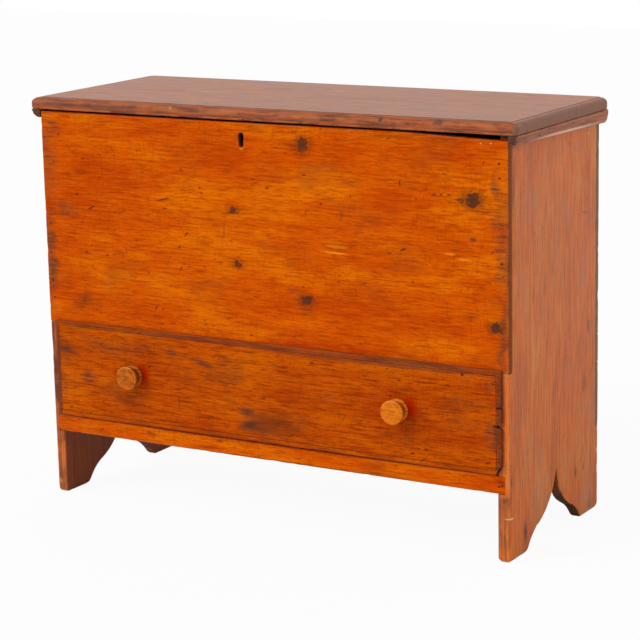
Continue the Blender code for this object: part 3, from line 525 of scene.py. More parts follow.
@dataclass
class Timber:
    """How one board was cut from its log, and what happened to it since.

    Attributes:
        finish: The finish on it.
        along: Direction of the grain.
        across: Direction of the board's width.
        heart: Place of the log's heart, across and through the board.
        seed: Shifts its patterns, so that no two boards are alike.
        knots: Its knots.
        marks: Its stains, dents and scratches, and painted highlights and shadows.
        band: A strip along its edges, if it has one.
        inner: Its inner side, if that is finished otherwise.
        sawing: Its sawn edges, if they are left rough.
        end_from: How far an edge has to face along the grain to show end grain.
    """

    finish: Pine
    along: Axis
    across: Axis
    heart: Flat
    seed: float
    knots: Sequence[Knot] = ()
    marks: Sequence[Mark] = ()
    band: Band | None = None
    inner: Inner | None = None
    sawing: Sawing | None = None
    end_from: float = 0.55

    def through(self) -> Axis:
        """Direction of the board's thickness."""
        return Axis(3 - self.along.value - self.across.value)

    def turned(self, place: Place) -> Place:
        """A place in the chest, as distances along, across and through the board."""
        return (place[self.along.value], place[self.across.value], place[self.through().value])

    def material(self, name: str) -> bpy.types.Material:
        """Make the board's material.

        Args:
            name: Name of the board.

        Returns:
            The material.
        """
        pine = self.finish
        shade = Shade(f"{pine.name}_{name}")
        axes = shade.parts(shade.here())
        along, across, through = self.turned(axes)
        point = shade.vector(along, across, through)
        shifted = shade.vectors("ADD", point, (self.seed * 3.1, self.seed * 1.7, self.seed * 0.9))
        loose = shade.noise(shifted, (140, 140, 140)) - 0.5
        ragged = shade.vectors("ADD", point, shade.vector(loose * 0.003, loose * -0.003, 0.0))
        late, knotted = self._rings(shade, shifted, ragged, (across, through))

        mottle = shade.noise(shifted, (5, 17, 17), 4.0, 0.6)
        broad = shade.noise(shifted, (8, 52, 52), 4.0, 0.65)
        streak = shade.noise(shifted, (pine.run, 240, 240), 5.0, 0.75)
        fibre = shade.noise(shifted, (pine.run * 3, 500, 500), 3.0, 0.65)
        lines = shade.noise(shifted, (300, 34, 34), 3.0, 0.6)
        gather = shade.noise(shifted, (4, 6, 6)).rise(0.4, 0.6)
        cloud = shade.noise(shifted, (7, 12, 12), 4.0, 0.65)
        colour = shade.mix(mottle.rise(0.5, 0.64, pine.mottle), pine.early, pine.pale)
        colour = shade.mix(mottle.rise(0.48, 0.35, pine.mottle), colour, pine.late)
        colour = shade.mix(late * pine.rings, colour, pine.late)
        colour = shade.mix(broad.rise(0.5, 0.64, pine.streaks * 0.7), colour, pine.late)
        colour = shade.mix(streak.rise(0.46, 0.33, pine.streaks * 0.6), colour, pine.pale)
        colour = shade.mix(streak.rise(0.49, 0.65, pine.streaks), colour, pine.streak)
        colour = shade.mix(fibre.rise(0.5, 0.66, 0.45), colour, pine.streak)
        colour = shade.mix(lines.rise(0.52, 0.66, pine.hatch) * (0.3 + gather), colour, pine.streak)
        colour = shade.mix(cloud.rise(0.54, 0.68, pine.haze), colour, pine.dust)

        tossed = shade.vectors("ADD", shifted, shade.vector(broad * 0.05 + mottle * 0.09, mottle * 0.06))
        pepper = shade.noise(tossed, (90, 300, 300), 4.0, 0.7).rise(0.61, 0.7) * (0.35 + gather * 0.65)
        near, kept, small = shade.cells(tossed, (66, 130, 130))
        dent = (near - small * 0.3).rise(0.0, -0.1) * kept.rise(0.7, 0.78) * (0.5 + gather * 0.5)
        specks = dent.high(pepper * 0.7) * pine.specks
        colour = shade.mix(specks, colour, pine.dark)
        height = fibre * 0.3 + streak * 0.2 - late * 0.2 - specks * 0.7
        rough = pine.rough + (mottle - 0.5) * 0.2 + (fibre - 0.5) * 0.12

        if self.band:
            mixed = shade.noise(shifted, (13, 190, 190), 4.0, 0.65)
            inside = self._rim((along, across), mixed).rise(self.band.width, self.band.width * 0.72)
            tint = shade.mix(mixed.rise(0.36, 0.64), self.band.colour, self.band.pale)
            colour = shade.mix(inside * self.band.strength, colour, tint)
            rough = rough + inside * 0.2
        if knotted is not None:
            colour = shade.mix(knotted * 2.0, colour, pine.halo)
            colour = shade.mix(knotted.rise(0.25, 0.95) * (0.85 + loose * 3.5), colour, pine.knot)
            height = height + knotted * 0.4

        facing = self.turned(shade.parts(shade.here("Normal")))
        ended = facing[0].size().rise(self.end_from, self.end_from + 0.25)
        grain = shade.mix((late * 0.25).high(streak.rise(0.45, 0.65, 0.35)), pine.end, pine.dark)
        colour = shade.mix(ended * 0.88, colour, grain)
        rough = rough + ended * 0.15
        if self.sawing:
            sawn = facing[2].size().rise(0.75, 0.4)
            sawn = sawn * axes[2].rise(self.sawing.below, self.sawing.below - 0.01)
            sawn = sawn * axes[1].rise(self.sawing.behind, self.sawing.behind + 0.003)
            colour = shade.mix(sawn * (0.55 + mottle * 0.6), colour, self.sawing.colour)
            rough = rough + sawn * 0.2
        worn = shade.worn()
        # Darker where the mesh's wear is below 0, in the mouldings' grooves
        colour = shade.mix(worn.rise(-0.05, -0.9, 0.8), colour, pine.dark)
        rubbed = worn.rise(0.0, 1.0)
        rubbed = rubbed * shade.noise(shifted, (30, 60, 60), 3.0, 0.65).rise(0.42, 0.6, pine.rubbing)
        rubbed = rubbed * (1.0 - ended * 0.85)
        colour = shade.mix(rubbed, colour, pine.rubbed)

        veil = 0.45 + (streak + cloud).rise(0.88, 1.12, 0.75)
        billow = shade.noise(shifted, (26, 26, 26)) - 0.5
        blown = shade.vectors("ADD", ragged, shade.vector(billow * 0.05, billow * -0.03, 0.0))
        stains: dict[Colour, Wire] = {}
        pits: Wire | float = 0.0
        for mark in self.marks:
            reach = (*mark.reach, mark.depth)
            place, soft = (blown, 0.95) if mark.clouded() else (ragged, mark.soft)
            shown = shade.placed(place, self.turned(mark.middle), reach, mark.turn)
            shown = shown.rise(1.0, 1.0 - soft, mark.strength)
            if mark.dent:
                pits = shown * mark.dent + pits
            share = shown * veil if mark.clouded() else shown
            stains[mark.colour] = share.high(stains.get(mark.colour, 0.0))
        for tint, share in stains.items():
            colour = shade.mix(share, colour, tint)
        height = height - pits
        if self.inner:
            inside = through.rise(self.inner.start, self.inner.end)
            bare = inside * axes[2].rise(self.inner.above - 0.002, self.inner.above)
            if self.inner.under:
                colour = shade.mix((inside - bare) * (0.55 + streak * 0.5), colour, self.inner.under)
            plain = shade.mix(mottle.rise(0.4, 0.65), BARE_PINE.early, BARE_PINE.pale)
            plain = shade.mix(late * 0.4 + streak.rise(0.5, 0.65, 0.4), plain, BARE_PINE.late)
            colour = shade.mix(bare, colour, plain)
            rough = rough + bare * 0.3
        return shade.finish(colour, rough, height, pine.bump, Specular_IOR_Level=pine.gloss)

    def _rings(
        self, shade: Shade, shifted: Wire, ragged: Wire, place: tuple[Wire, Wire]
    ) -> tuple[Wire, Wire | None]:
        """Growth rings that bend round the knots.

        Args:
            shade: The material's nodes.
            shifted: Where the board's own patterns are read.
            ragged: The point on the board, moved a little for ragged outlines.
            place: Distances across and through the board.

        Returns:
            The dark line of each ring, and the knots' darkness if there are any.
        """
        wander = shade.noise(shifted, (1.6, 6, 6)) - 0.5
        ripple = shade.noise(shifted, (9, 26, 26), 1.0) - 0.5
        out = shade.vector(0.0, place[0] - self.heart[0], place[1] - self.heart[1])
        radius = shade.vectors("LENGTH", out, output="Value") + wander * 0.034 + ripple * 0.003
        knotted: Wire | None = None
        if self.knots:
            stretches = ((170, 170, 170), (150, 190, 130))
            lumps = [shade.noise(shifted, stretch, 3.0) - 0.5 for stretch in stretches]
            broken = shade.vectors("ADD", ragged, shade.vector(lumps[0] * 0.022, lumps[1] * 0.016))
        for knot in self.knots:
            middle = self.turned(knot.middle)
            distance = shade.placed(broken, middle, (*knot.reach, 0.05))
            halo = shade.placed(broken, middle, (knot.reach[0] * 3.2, knot.reach[1] * 2.1, 0.05))
            radius = radius + shade.placed(ragged, middle, (*knot.reach, 0.05)).rise(3.6, 0.2, knot.swirl)
            found = distance.rise(1.3, 0.75, knot.strength) - distance.rise(0.85, 0.55, 0.3)
            found = (found + distance.rise(0.5, 0.25, 0.3)).high(halo.rise(1.0, 0.25, 0.4 * knot.strength))
            knotted = found if knotted is None else knotted.high(found)
        ring = (radius / self.finish.ring_gap).part()
        return ring.rise(0.25, 0.85) * ring.rise(1.0, 0.9), knotted

    def _rim(self, face: tuple[Wire, Wire], mixed: Wire) -> Wire:
        """Ragged distance to the nearest edge that has the strip.

        Args:
            face: Distances along and across the board.
            mixed: Noise that makes it ragged.

        Returns:
            The distance.
        """
        rim: Wire | None = None
        for side, edge in self.band.edges.items():
            place = face[0] if side in (Side.LEFT, Side.RIGHT) else face[1]
            gap = place - edge if side in (Side.LEFT, Side.LOW) else edge - place
            rim = gap if rim is None else rim.low(gap)
        return rim + (mixed - 0.5) * 0.004


FRONT_PINE = Pine(
    name="pine_front",
    early=srgb(218, 91, 0),
    late=srgb(196, 68, 0),
    streak=srgb(152, 44, 0),
    pale=srgb(236, 120, 0),
    dark=srgb(72, 28, 6),
    dust=srgb(150, 70, 18),
    end=srgb(144, 82, 54),
    rubbed=srgb(190, 110, 60),
    haze=0.35,
    gloss=0.02,
)
DRAWER_PINE = Pine(
    name="pine_drawer",
    early=srgb(202, 86, 2),
    late=srgb(176, 62, 2),
    streak=srgb(126, 38, 2),
    pale=srgb(216, 104, 0),
    dark=srgb(62, 26, 8),
    dust=srgb(124, 60, 22),
    end=srgb(112, 64, 46),
    rubbed=srgb(150, 80, 38),
    streaks=0.75,
    hatch=0.2,
    specks=0.95,
    haze=0.5,
    gloss=0.02,
)
# Lighter than the front's pine: painted light that makes up for the shade that the right end stands in
SIDE_PINE = Pine(
    name="pine_side",
    early=srgb(234, 118, 32),
    late=srgb(208, 96, 26),
    streak=srgb(122, 68, 36),
    pale=srgb(238, 146, 74),
    dark=srgb(84, 54, 36),
    dust=srgb(190, 134, 100),
    end=srgb(112, 66, 40),
    rubbed=srgb(226, 130, 44),
    run=7.0,
    rings=0.12,
    mottle=0.6,
    streaks=0.4,
    hatch=0.1,
    specks=0.45,
    rubbing=0.75,
    gloss=0.34,
)
LID_PINE = Pine(
    name="pine_lid",
    early=srgb(176, 96, 40),
    late=srgb(146, 74, 32),
    streak=srgb(84, 40, 22),
    pale=srgb(194, 112, 52),
    dark=srgb(58, 32, 22),
    dust=srgb(150, 92, 62),
    # Pale grey-brown end grain, partly painted sheen from the white surroundings that the lid's ends
    # reflect
    end=srgb(150, 104, 82),
    rubbed=srgb(196, 112, 54),
    run=12.0,
    streaks=0.75,
    hatch=0.1,
    specks=0.35,
    rough=0.42,
    gloss=0.36,
)
# The cleats' end grain is darker than the lid's, with painted shade on their front ends, which lie under
# the lid
CLEAT_PINE = replace(
    LID_PINE, name="pine_cleat", early=srgb(176, 88, 42), late=srgb(146, 68, 34), end=srgb(66, 36, 24)
)
BARE_PINE = Pine(
    name="pine_bare",
    early=srgb(186, 142, 96),
    late=srgb(150, 100, 58),
    streak=srgb(126, 84, 50),
    pale=srgb(198, 158, 112),
    dark=srgb(84, 58, 38),
    dust=srgb(140, 112, 86),
    end=srgb(150, 116, 90),
    rubbed=srgb(196, 160, 118),
    mottle=0.6,
    streaks=0.45,
    specks=0.4,
    rubbing=0.35,
    rough=0.72,
    gloss=0.3,
)


@dataclass(frozen=True)
class TurnedWood:
    """Golden turned wood, with darker grain, a worn rim, a darker waist and foot, and a scratched face."""

    base: Colour = srgb(230, 120, 2)
    deep: Colour = srgb(174, 76, 4)
    worn: Colour = srgb(240, 146, 36)
    darkening: Colour = srgb(74, 32, 8)
    scratches: float = 0.3

    def material(self, name: str, middle: Place, reach: float, radius: float) -> bpy.types.Material:
        """Make the material of one knob.

        Args:
            name: Name of the knob.
            middle: Middle of the knob's foot.
            reach: How far the knob stands out.
            radius: Its largest radius.

        Returns:
            The material.
        """
        shade = Shade(f"knob_wood_{name}")
        place = shade.vectors("SUBTRACT", shade.here(), middle)
        x, y, z = shade.parts(place)
        out = y * -1.0
        radial = shade.vectors("LENGTH", shade.vector(x, 0.0, z), output="Value")
        grain = shade.noise(place, (60, 60, 420), 3.0, 0.6)
        cloud = shade.noise(place, (90, 90, 90), 3.0, 0.6)
        scratch = shade.noise(shade.vector(x + z * 0.4, y, z - x * 0.4), (1100, 90, 150))
        colour = shade.mix(grain.rise(0.42, 0.7), self.base, self.deep)
        colour = shade.mix(cloud.rise(0.5, 0.72, 0.4), colour, self.worn)
        face = out.rise(reach * 0.86, reach * 0.93)
        colour = shade.mix(face * scratch.rise(0.58, 0.72, self.scratches), colour, self.darkening)
        rim = radial.rise(radius * 0.86, radius * 0.97) * out.rise(reach * 0.7, reach * 0.86)
        colour = shade.mix(rim * cloud.rise(0.3, 0.6, 0.7), colour, self.worn)
        # Darker in the waist and at the foot, where the knob meets the drawer
        waist = radial.rise(radius * 0.86, radius * 0.66) * (1.0 - face)
        foot = out.rise(reach * 0.12, 0.0)
        darkening = waist.high(foot) * cloud.rise(0.1, 0.6)
        colour = shade.mix(darkening * 0.85, colour, self.darkening)
        rough = 0.3 + cloud * 0.2 + darkening * 0.3
        height = grain * 0.4 - face * scratch.rise(0.6, 0.72) * 0.6
        return shade.finish(colour, rough, height, 0.0002, Specular_IOR_Level=0.12)


@dataclass(frozen=True)
class OldIron:
    """Wrought iron with a dark skin, rubbed bright in places, and brown rust in patches."""

    name: str = "old_iron"
    skin: Colour = srgb(58, 52, 48)
    bright: Colour = srgb(104, 98, 92)
    rust: Colour = srgb(96, 54, 32)

    def material(self) -> bpy.types.Material:
        """Make the material.

        Returns:
            The material.
        """
        shade = Shade(self.name)
        point = shade.here()
        cloud = shade.noise(point, (60, 60, 60), 4.0, 0.65)
        grit = shade.noise(point, (700, 700, 700), 3.0, 0.6)
        rusted = (cloud + (grit - 0.5) * 0.3).rise(0.48, 0.64)
        colour = shade.mix(grit.rise(0.35, 0.7), self.skin, self.bright)
        colour = shade.mix(rusted * 0.85, colour, self.rust)
        rough = 0.42 + rusted * 0.35 + (grit - 0.5) * 0.2
        height = grit * 0.6 + rusted * 0.4
        return shade.finish(colour, rough, height, 0.0002, Metallic=0.9 - rusted * 0.8)


# Shapes


@dataclass(frozen=True)
class Step:
    """One line round the edge of a board.

    Attributes:
        inset: How far it lies inside the outline.
        depth: How far it lies below the face.
        wear: How worn it is, up to 1, or how darkened, down to -1.
    """

    inset: float
    depth: float
    wear: float = 0.0


def eased(width: float, steps: int = 3) -> list[Step]:
    """A rounded arris between a face and a side.

    Args:
        width: Its radius.
        steps: How many flats make the round.

    Returns:
        Its lines, from the face to the side.
    """
    lines = [Step(width + 0.0025, 0.0)]
    for index in range(steps + 1):
        angle = math.pi / 2 * index / steps
        lines.append(Step(width * (1 - math.sin(angle)), width * (1 - math.cos(angle)), 1.0))
    lines.append(Step(0.0, width + 0.002))
    return lines


def spread(start: Flat, end: Flat, gap: float) -> list[Flat]:
    """Points on a line.

    Args:
        start: Where the line begins.
        end: Where it ends, which isn't one of the points.
        gap: About how far apart they lie.

    Returns:
        The points, with the start as the first.
    """
    count = max(1, round(math.dist(start, end) / gap))
    return [
        (start[0] + (end[0] - start[0]) * i / count, start[1] + (end[1] - start[1]) * i / count)
        for i in range(count)
    ]


def bowed(start: Flat, end: Flat, bulge: float, steps: int) -> list[Flat]:
    """Points after start on an arc to end.

    Args:
        start: Where the arc begins.
        end: Where the arc ends.
        bulge: Height of the arc as a share of its chord, positive to the left of the way.
        steps: How many points there are.

    Returns:
        The points, with the end as the last.
    """
    across = (end[0] - start[0], end[1] - start[1])
    points = []
    for index in range(1, steps + 1):
        share = index / steps
        lift = 4 * bulge * share * (1 - share)
        points.append(
            (
                start[0] + across[0] * share - across[1] * lift,
                start[1] + across[1] * share + across[0] * lift,
            )
        )
    return points


def rounded(middle: Flat, radius: float, start: float, end: float, steps: int) -> list[Flat]:
    """Points on an arc round a middle, from one angle to another in degrees."""
    angles = [math.radians(start + (end - start) * i / steps) for i in range(steps + 1)]
    return [(middle[0] + radius * math.cos(a), middle[1] + radius * math.sin(a)) for a in angles]


def softened(points: list[Flat], corners: dict[Flat, float]) -> list[Flat]:
    """An outline with some of its corners worn round.

    Args:
        points: The outline.
        corners: How far each corner is worn, by its place, which is a point of the outline.

    Returns:
        The new outline.
    """
    result = []
    for index, point in enumerate(points):
        near = [(corner, reach) for corner, reach in corners.items() if math.dist(corner, point) < reach]
        if not near:
            result.append(point)
            continue
        corner, reach = near[0]
        if math.dist(corner, point) > 1e-6:
            continue
        ends = []
        for step in (-1, 1):
            other = index
            while math.dist(points[other % len(points)], corner) < reach:
                other += step
            way = Vector(points[other % len(points)]) - Vector(corner)
            ends.append(Vector(corner) + way.normalized() * reach)
        for share in (0.0, 0.2, 0.4, 0.6, 0.8, 1.0):
            first = ends[0].lerp(Vector(corner), share)
            second = Vector(corner).lerp(ends[1], share)
            result.append(tuple(first.lerp(second, share)))
    return result


@dataclass
class Sawn:
    """A free outline, as points that run round it with the wood on their left."""

    points: list[Flat]

    def inset(self, amount: float) -> list[Flat]:
        """The outline drawn in.

        Args:
            amount: How far.

        Returns:
            Its points.
        """
        moved = []
        count = len(self.points)
        for index, point in enumerate(self.points):
            before = Vector(point) - Vector(self.points[index - 1])
            after = Vector(self.points[(index + 1) % count]) - Vector(point)
            first = Vector((-before.y, before.x)).normalized()
            second = Vector((-after.y, after.x)).normalized()
            middle = (first + second).normalized()
            reach = amount / max(0.55, middle.dot(first))
            moved.append((point[0] + middle.x * reach, point[1] + middle.y * reach))
        return moved


@dataclass
class Squared:
    """A rectangular outline with slightly rounded corners.

    Attributes:
        low: Lowest corner.
        high: Highest corner.
        radius: Radius of the corners.
        held: Sides that stay when the outline is drawn in.
        gap: Distance between its points.
    """

    low: Flat
    high: Flat
    radius: float = 0.0015
    held: tuple[Side, ...] = ()
    gap: float = 0.009

    def inset(self, amount: float) -> list[Flat]:
        """The outline drawn in, apart from the sides that are held.

        Args:
            amount: How far.

        Returns:
            Its points.
        """
        left = self.low[0] + (0 if Side.LEFT in self.held else amount)
        right = self.high[0] - (0 if Side.RIGHT in self.held else amount)
        low = self.low[1] + (0 if Side.LOW in self.held else amount)
        high = self.high[1] - (0 if Side.HIGH in self.held else amount)
        wide = (right - left) / (self.high[0] - self.low[0])
        tall = (high - low) / (self.high[1] - self.low[1])
        moved = [(x - self.low[0], y - self.low[1]) for x, y in self._points()]
        return [(left + x * wide, low + y * tall) for x, y in moved]

    def _points(self) -> list[Flat]:
        """The outline's points, from the lower right corner on.

        Returns:
            The points.
        """
        r = self.radius
        middles = [
            (self.high[0] - r, self.low[1] + r),
            (self.high[0] - r, self.high[1] - r),
            (self.low[0] + r, self.high[1] - r),
            (self.low[0] + r, self.low[1] + r),
        ]
        arcs = [rounded(middle, r, 90 * turn - 90, 90 * turn, 4) for turn, middle in enumerate(middles)]
        points = []
        for arc, following in zip(arcs, arcs[1:] + arcs[:1]):
            points += arc[:-1] + spread(arc[-1], following[0], self.gap)
        return points


@dataclass
class Slab:
    """The body of a board: an outline given a thickness, with worn arrises.

    Attributes:
        outline: Its outline.
        faces: Direction of its thickness.
        low: Place of the lower face.
        high: Place of the upper face.
        below: Lines round the lower face.
        above: Lines round the upper face.
        nick: Deepest nick in the arrises.
        seed: Shifts the nicks.
    """

    outline: Sawn | Squared
    faces: Axis
    low: float
    high: float
    below: list[Step]
    above: list[Step]
    nick: float
    seed: float = 0.0

    def place(self, point: Flat, level: float) -> Vector:
        """Where a point of the outline lies in the chest."""
        return Vector(located(self.faces, point, level))

    def body(self) -> bmesh.types.BMesh:
        """Build the board's mesh.

        Returns:
            The mesh, with how worn each point is as its wear.
        """
        rows = [(step, self.low, 1) for step in self.below]
        rows += [(step, self.high, -1) for step in reversed(self.above)]
        mesh = bmesh.new()
        wear = mesh.verts.layers.float.new("wear")
        loops = []
        for step, face, inwards in rows:
            plain = self.outline.inset(step.inset)
            deeper = self.outline.inset(step.inset + 0.001)
            loop = []
            for point, inner in zip(plain, deeper):
                spot = self.place(point, face + inwards * step.depth)
                nick = self._nick(spot) * max(0.0, step.wear)
                pull = self.place(inner, 0.0) - self.place(point, 0.0)
                spot += pull * (nick / 0.001)
                spot += self.place((0, 0), inwards * nick * 0.6)
                vertex = mesh.verts.new(spot)
                vertex[wear] = step.wear
                loop.append(vertex)
            loops.append(loop)
        for lower, upper in zip(loops, loops[1:]):
            for index in range(len(lower)):
                mesh.faces.new((lower[index - 1], lower[index], upper[index], upper[index - 1]))
        mesh.faces.new(loops[0])
        mesh.faces.new(loops[-1])
        bmesh.ops.recalc_face_normals(mesh, faces=mesh.faces)
        return mesh

    def _nick(self, spot: Vector) -> float:
        """How much is worn off an arris.

        Args:
            spot: Place on the arris.

        Returns:
            The depth of the nick there.
        """
        shifted = spot + Vector((self.seed, self.seed * 0.7, self.seed * 0.3))
        rough = noise.noise(shifted * 55) * 0.5 + noise.noise(shifted * 170) * 0.5
        return self.nick * max(0.0, rough - 0.1) * 2.4


def smooth(data: bpy.types.Mesh) -> None:
    """Shade a mesh smooth and keep its sharp edges."""
    data.shade_smooth()
    data.set_sharp_from_angle(angle=SHARP_ANGLE)


def new_object(name: str, mesh: bmesh.types.BMesh) -> bpy.types.Object:
    """Turn a finished mesh into an object of the scene.

    Args:
        name: Name of the object.
        mesh: Its mesh, which is used up.

    Returns:
        The object.
    """
    data = bpy.data.meshes.new(name)
    mesh.to_mesh(data)
    mesh.free()
    smooth(data)
    thing = bpy.data.objects.new(name, data)
    bpy.context.scene.collection.objects.link(thing)
    return thing


def bake(thing: bpy.types.Object) -> None:
    """Turn what an object's modifiers give into its own plain mesh.

    Args:
        thing: The object, which loses its modifiers.
    """
    bpy.context.view_layer.update()
    graph = bpy.context.evaluated_depsgraph_get()
    data = bpy.data.meshes.new_from_object(thing.evaluated_get(graph), depsgraph=graph)
    thing.modifiers.clear()
    thing.data = data
    smooth(data)


def carve(
    thing: bpy.types.Object,
    cutters: Sequence[bpy.types.Object],
    added: Sequence[bpy.types.Object] = (),
) -> None:
    """Join shapes to an object, cut others out of it and remove them from the scene.

    Args:
        thing: The object.
        cutters: The shapes to cut with.
        added: The shapes that are joined to it first.
    """
    for operation, shapes in (("UNION", added), ("DIFFERENCE", cutters)):
        for shape in shapes:
            modifier = thing.modifiers.new("carve", "BOOLEAN")
            modifier.operation = operation
            modifier.solver = "EXACT"
            modifier.object = shape
    bake(thing)
    for shape in (*cutters, *added):
        bpy.data.objects.remove(shape)


def slice_up(mesh: bmesh.types.BMesh, axis: Axis, places: Sequence[float]) -> None:
    """Add rows of points to a mesh where planes cross it.

    Args:
        mesh: The mesh, which stays whole.
        axis: Direction that the planes face.
        places: Where the planes stand along it.
    """
    for place in places:
        parts = [*mesh.verts, *mesh.edges, *mesh.faces]
        middle = located(axis, (0, 0), place)
        bmesh.ops.bisect_plane(mesh, geom=parts, plane_co=middle, plane_no=located(axis, (0, 0), 1))


def cutter_box(low: Place, high: Place, grown: float = 0.0) -> bpy.types.Object:
    """A box to cut with.

    Args:
        low: Its lowest corner.
        high: Its highest corner.
        grown: How far it is grown on every side.

    Returns:
        The box.
    """
    mesh = bmesh.new()
    bmesh.ops.create_cube(mesh, size=1.0)
    size = [end - start + 2 * grown for start, end in zip(low, high)]
    middle = [(start + end) / 2 for start, end in zip(low, high)]
    bmesh.ops.scale(mesh, vec=size, verts=mesh.verts)
    bmesh.ops.translate(mesh, vec=middle, verts=mesh.verts)
    return new_object("cutter", mesh)


def wedge(place: Place, size: Place, turn: Place, seed: float) -> bpy.types.Object:
    """A rough splinter of wood, to break out of an edge.

    Args:
        place: Its middle.
        size: Its lengths along X, Y and Z.
        turn: Its turns about X, Y and Z in degrees.
        seed: Shifts its roughness.

    Returns:
        The shape to cut with.
    """
    mesh = bmesh.new()
    bmesh.ops.create_cube(mesh, size=1.0)
    bmesh.ops.subdivide_edges(mesh, edges=mesh.edges, cuts=3, use_grid_fill=True)
    bmesh.ops.scale(mesh, vec=size, verts=mesh.verts)
    starts = [Vector((seed + shift, seed + shift, seed + shift)) for shift in SPLINTER_SHIFTS]
    for vertex in mesh.verts:
        spot = vertex.co * SPLINTER_WAVES
        vertex.co += Vector([noise.noise(spot + start) for start in starts]) * SPLINTER_HEIGHT
    turned = Euler([math.radians(angle) for angle in turn]).to_matrix().to_4x4()
    mesh.transform(Matrix.Translation(place) @ turned)
    return new_object("splinter", mesh)


def settle(
    thing: bpy.types.Object, material: bpy.types.Material, body: str, nodes: Sequence[str]
) -> None:
    """Dress a finished piece, hand it to its body and report it.

    Args:
        thing: The piece.
        material: Its material.
        body: The moving body that it rides on.
        nodes: The nodes that it stands for.
    """
    thing.data.materials.clear()
    thing.data.materials.append(material)
    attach(thing, body)
    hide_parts(*nodes)
    LOG.info("%s on %s, for %d nodes", thing.name, body, len(nodes))


def corners(node: str) -> tuple[Place, Place]:
    """Lowest and highest corners of a node, as plain numbers."""
    low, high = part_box(node)
    return tuple(low), tuple(high)


def plank(
    node: str,
    timber: Timber,
    body: str,
    ease: float = 0.0012,
    nick: float = 0.0008,
    held: tuple[Side, ...] = (),
) -> None:
    """Make a plain rectangular board in place of its node.

    Args:
        node: The node.
        timber: How it was cut, and the finish on it.
        body: The body that it rides on.
        ease: Radius of its arrises.
        nick: Deepest nick in them.
        held: Sides with sharp arrises.
    """
    low, high = corners(node)
    faces = timber.through()
    first, second = (axis for axis in range(3) if axis != faces.value)
    outline = Squared((low[first], low[second]), (high[first], high[second]), held=held)
    levels = (low[faces.value], high[faces.value])
    slab = Slab(outline, faces, *levels, eased(ease), eased(ease), nick, timber.seed)
    board = new_object(f"{node}_board", slab.body())
    settle(board, timber.material(node), body, [node])


def moulding(
    width: float, step: float, drop: float, flats: int, margins: Flat, swell: float, wear: Flat
) -> list[Step]:
    """A thumbnail moulding with a small darkened groove at its inner side.

    Args:
        width: How far it reaches in from the edge.
        step: Depth of the small step at its inner side.
        drop: How far it falls below the face.
        flats: How many flats make its round.
        margins: How far inside it the flat face and the groove begin.
        swell: Share of its width that the round takes.
        wear: How worn the round is at its top, and how much more at the edge.

    Returns:
        Its lines, from the face down to the edge.
    """
    lines = [
        Step(width + margins[0], 0.0),
        Step(width + margins[1], 0.0, 0.2),
        Step(width + margins[1] - 0.0006, 0.0002, -1.0),
        Step(width - 0.0004, step, -1.0),
    ]
    for index in range(flats, -1, -1):
        angle = math.pi / 2 * index / flats
        inset = width * (1 - math.cos(angle)) * swell
        depth = step + (drop - step) * (1 - math.sin(angle))
        lines.append(Step(inset, depth, wear[0] + wear[1] * (1 - index / flats)))
    return lines


# The chest


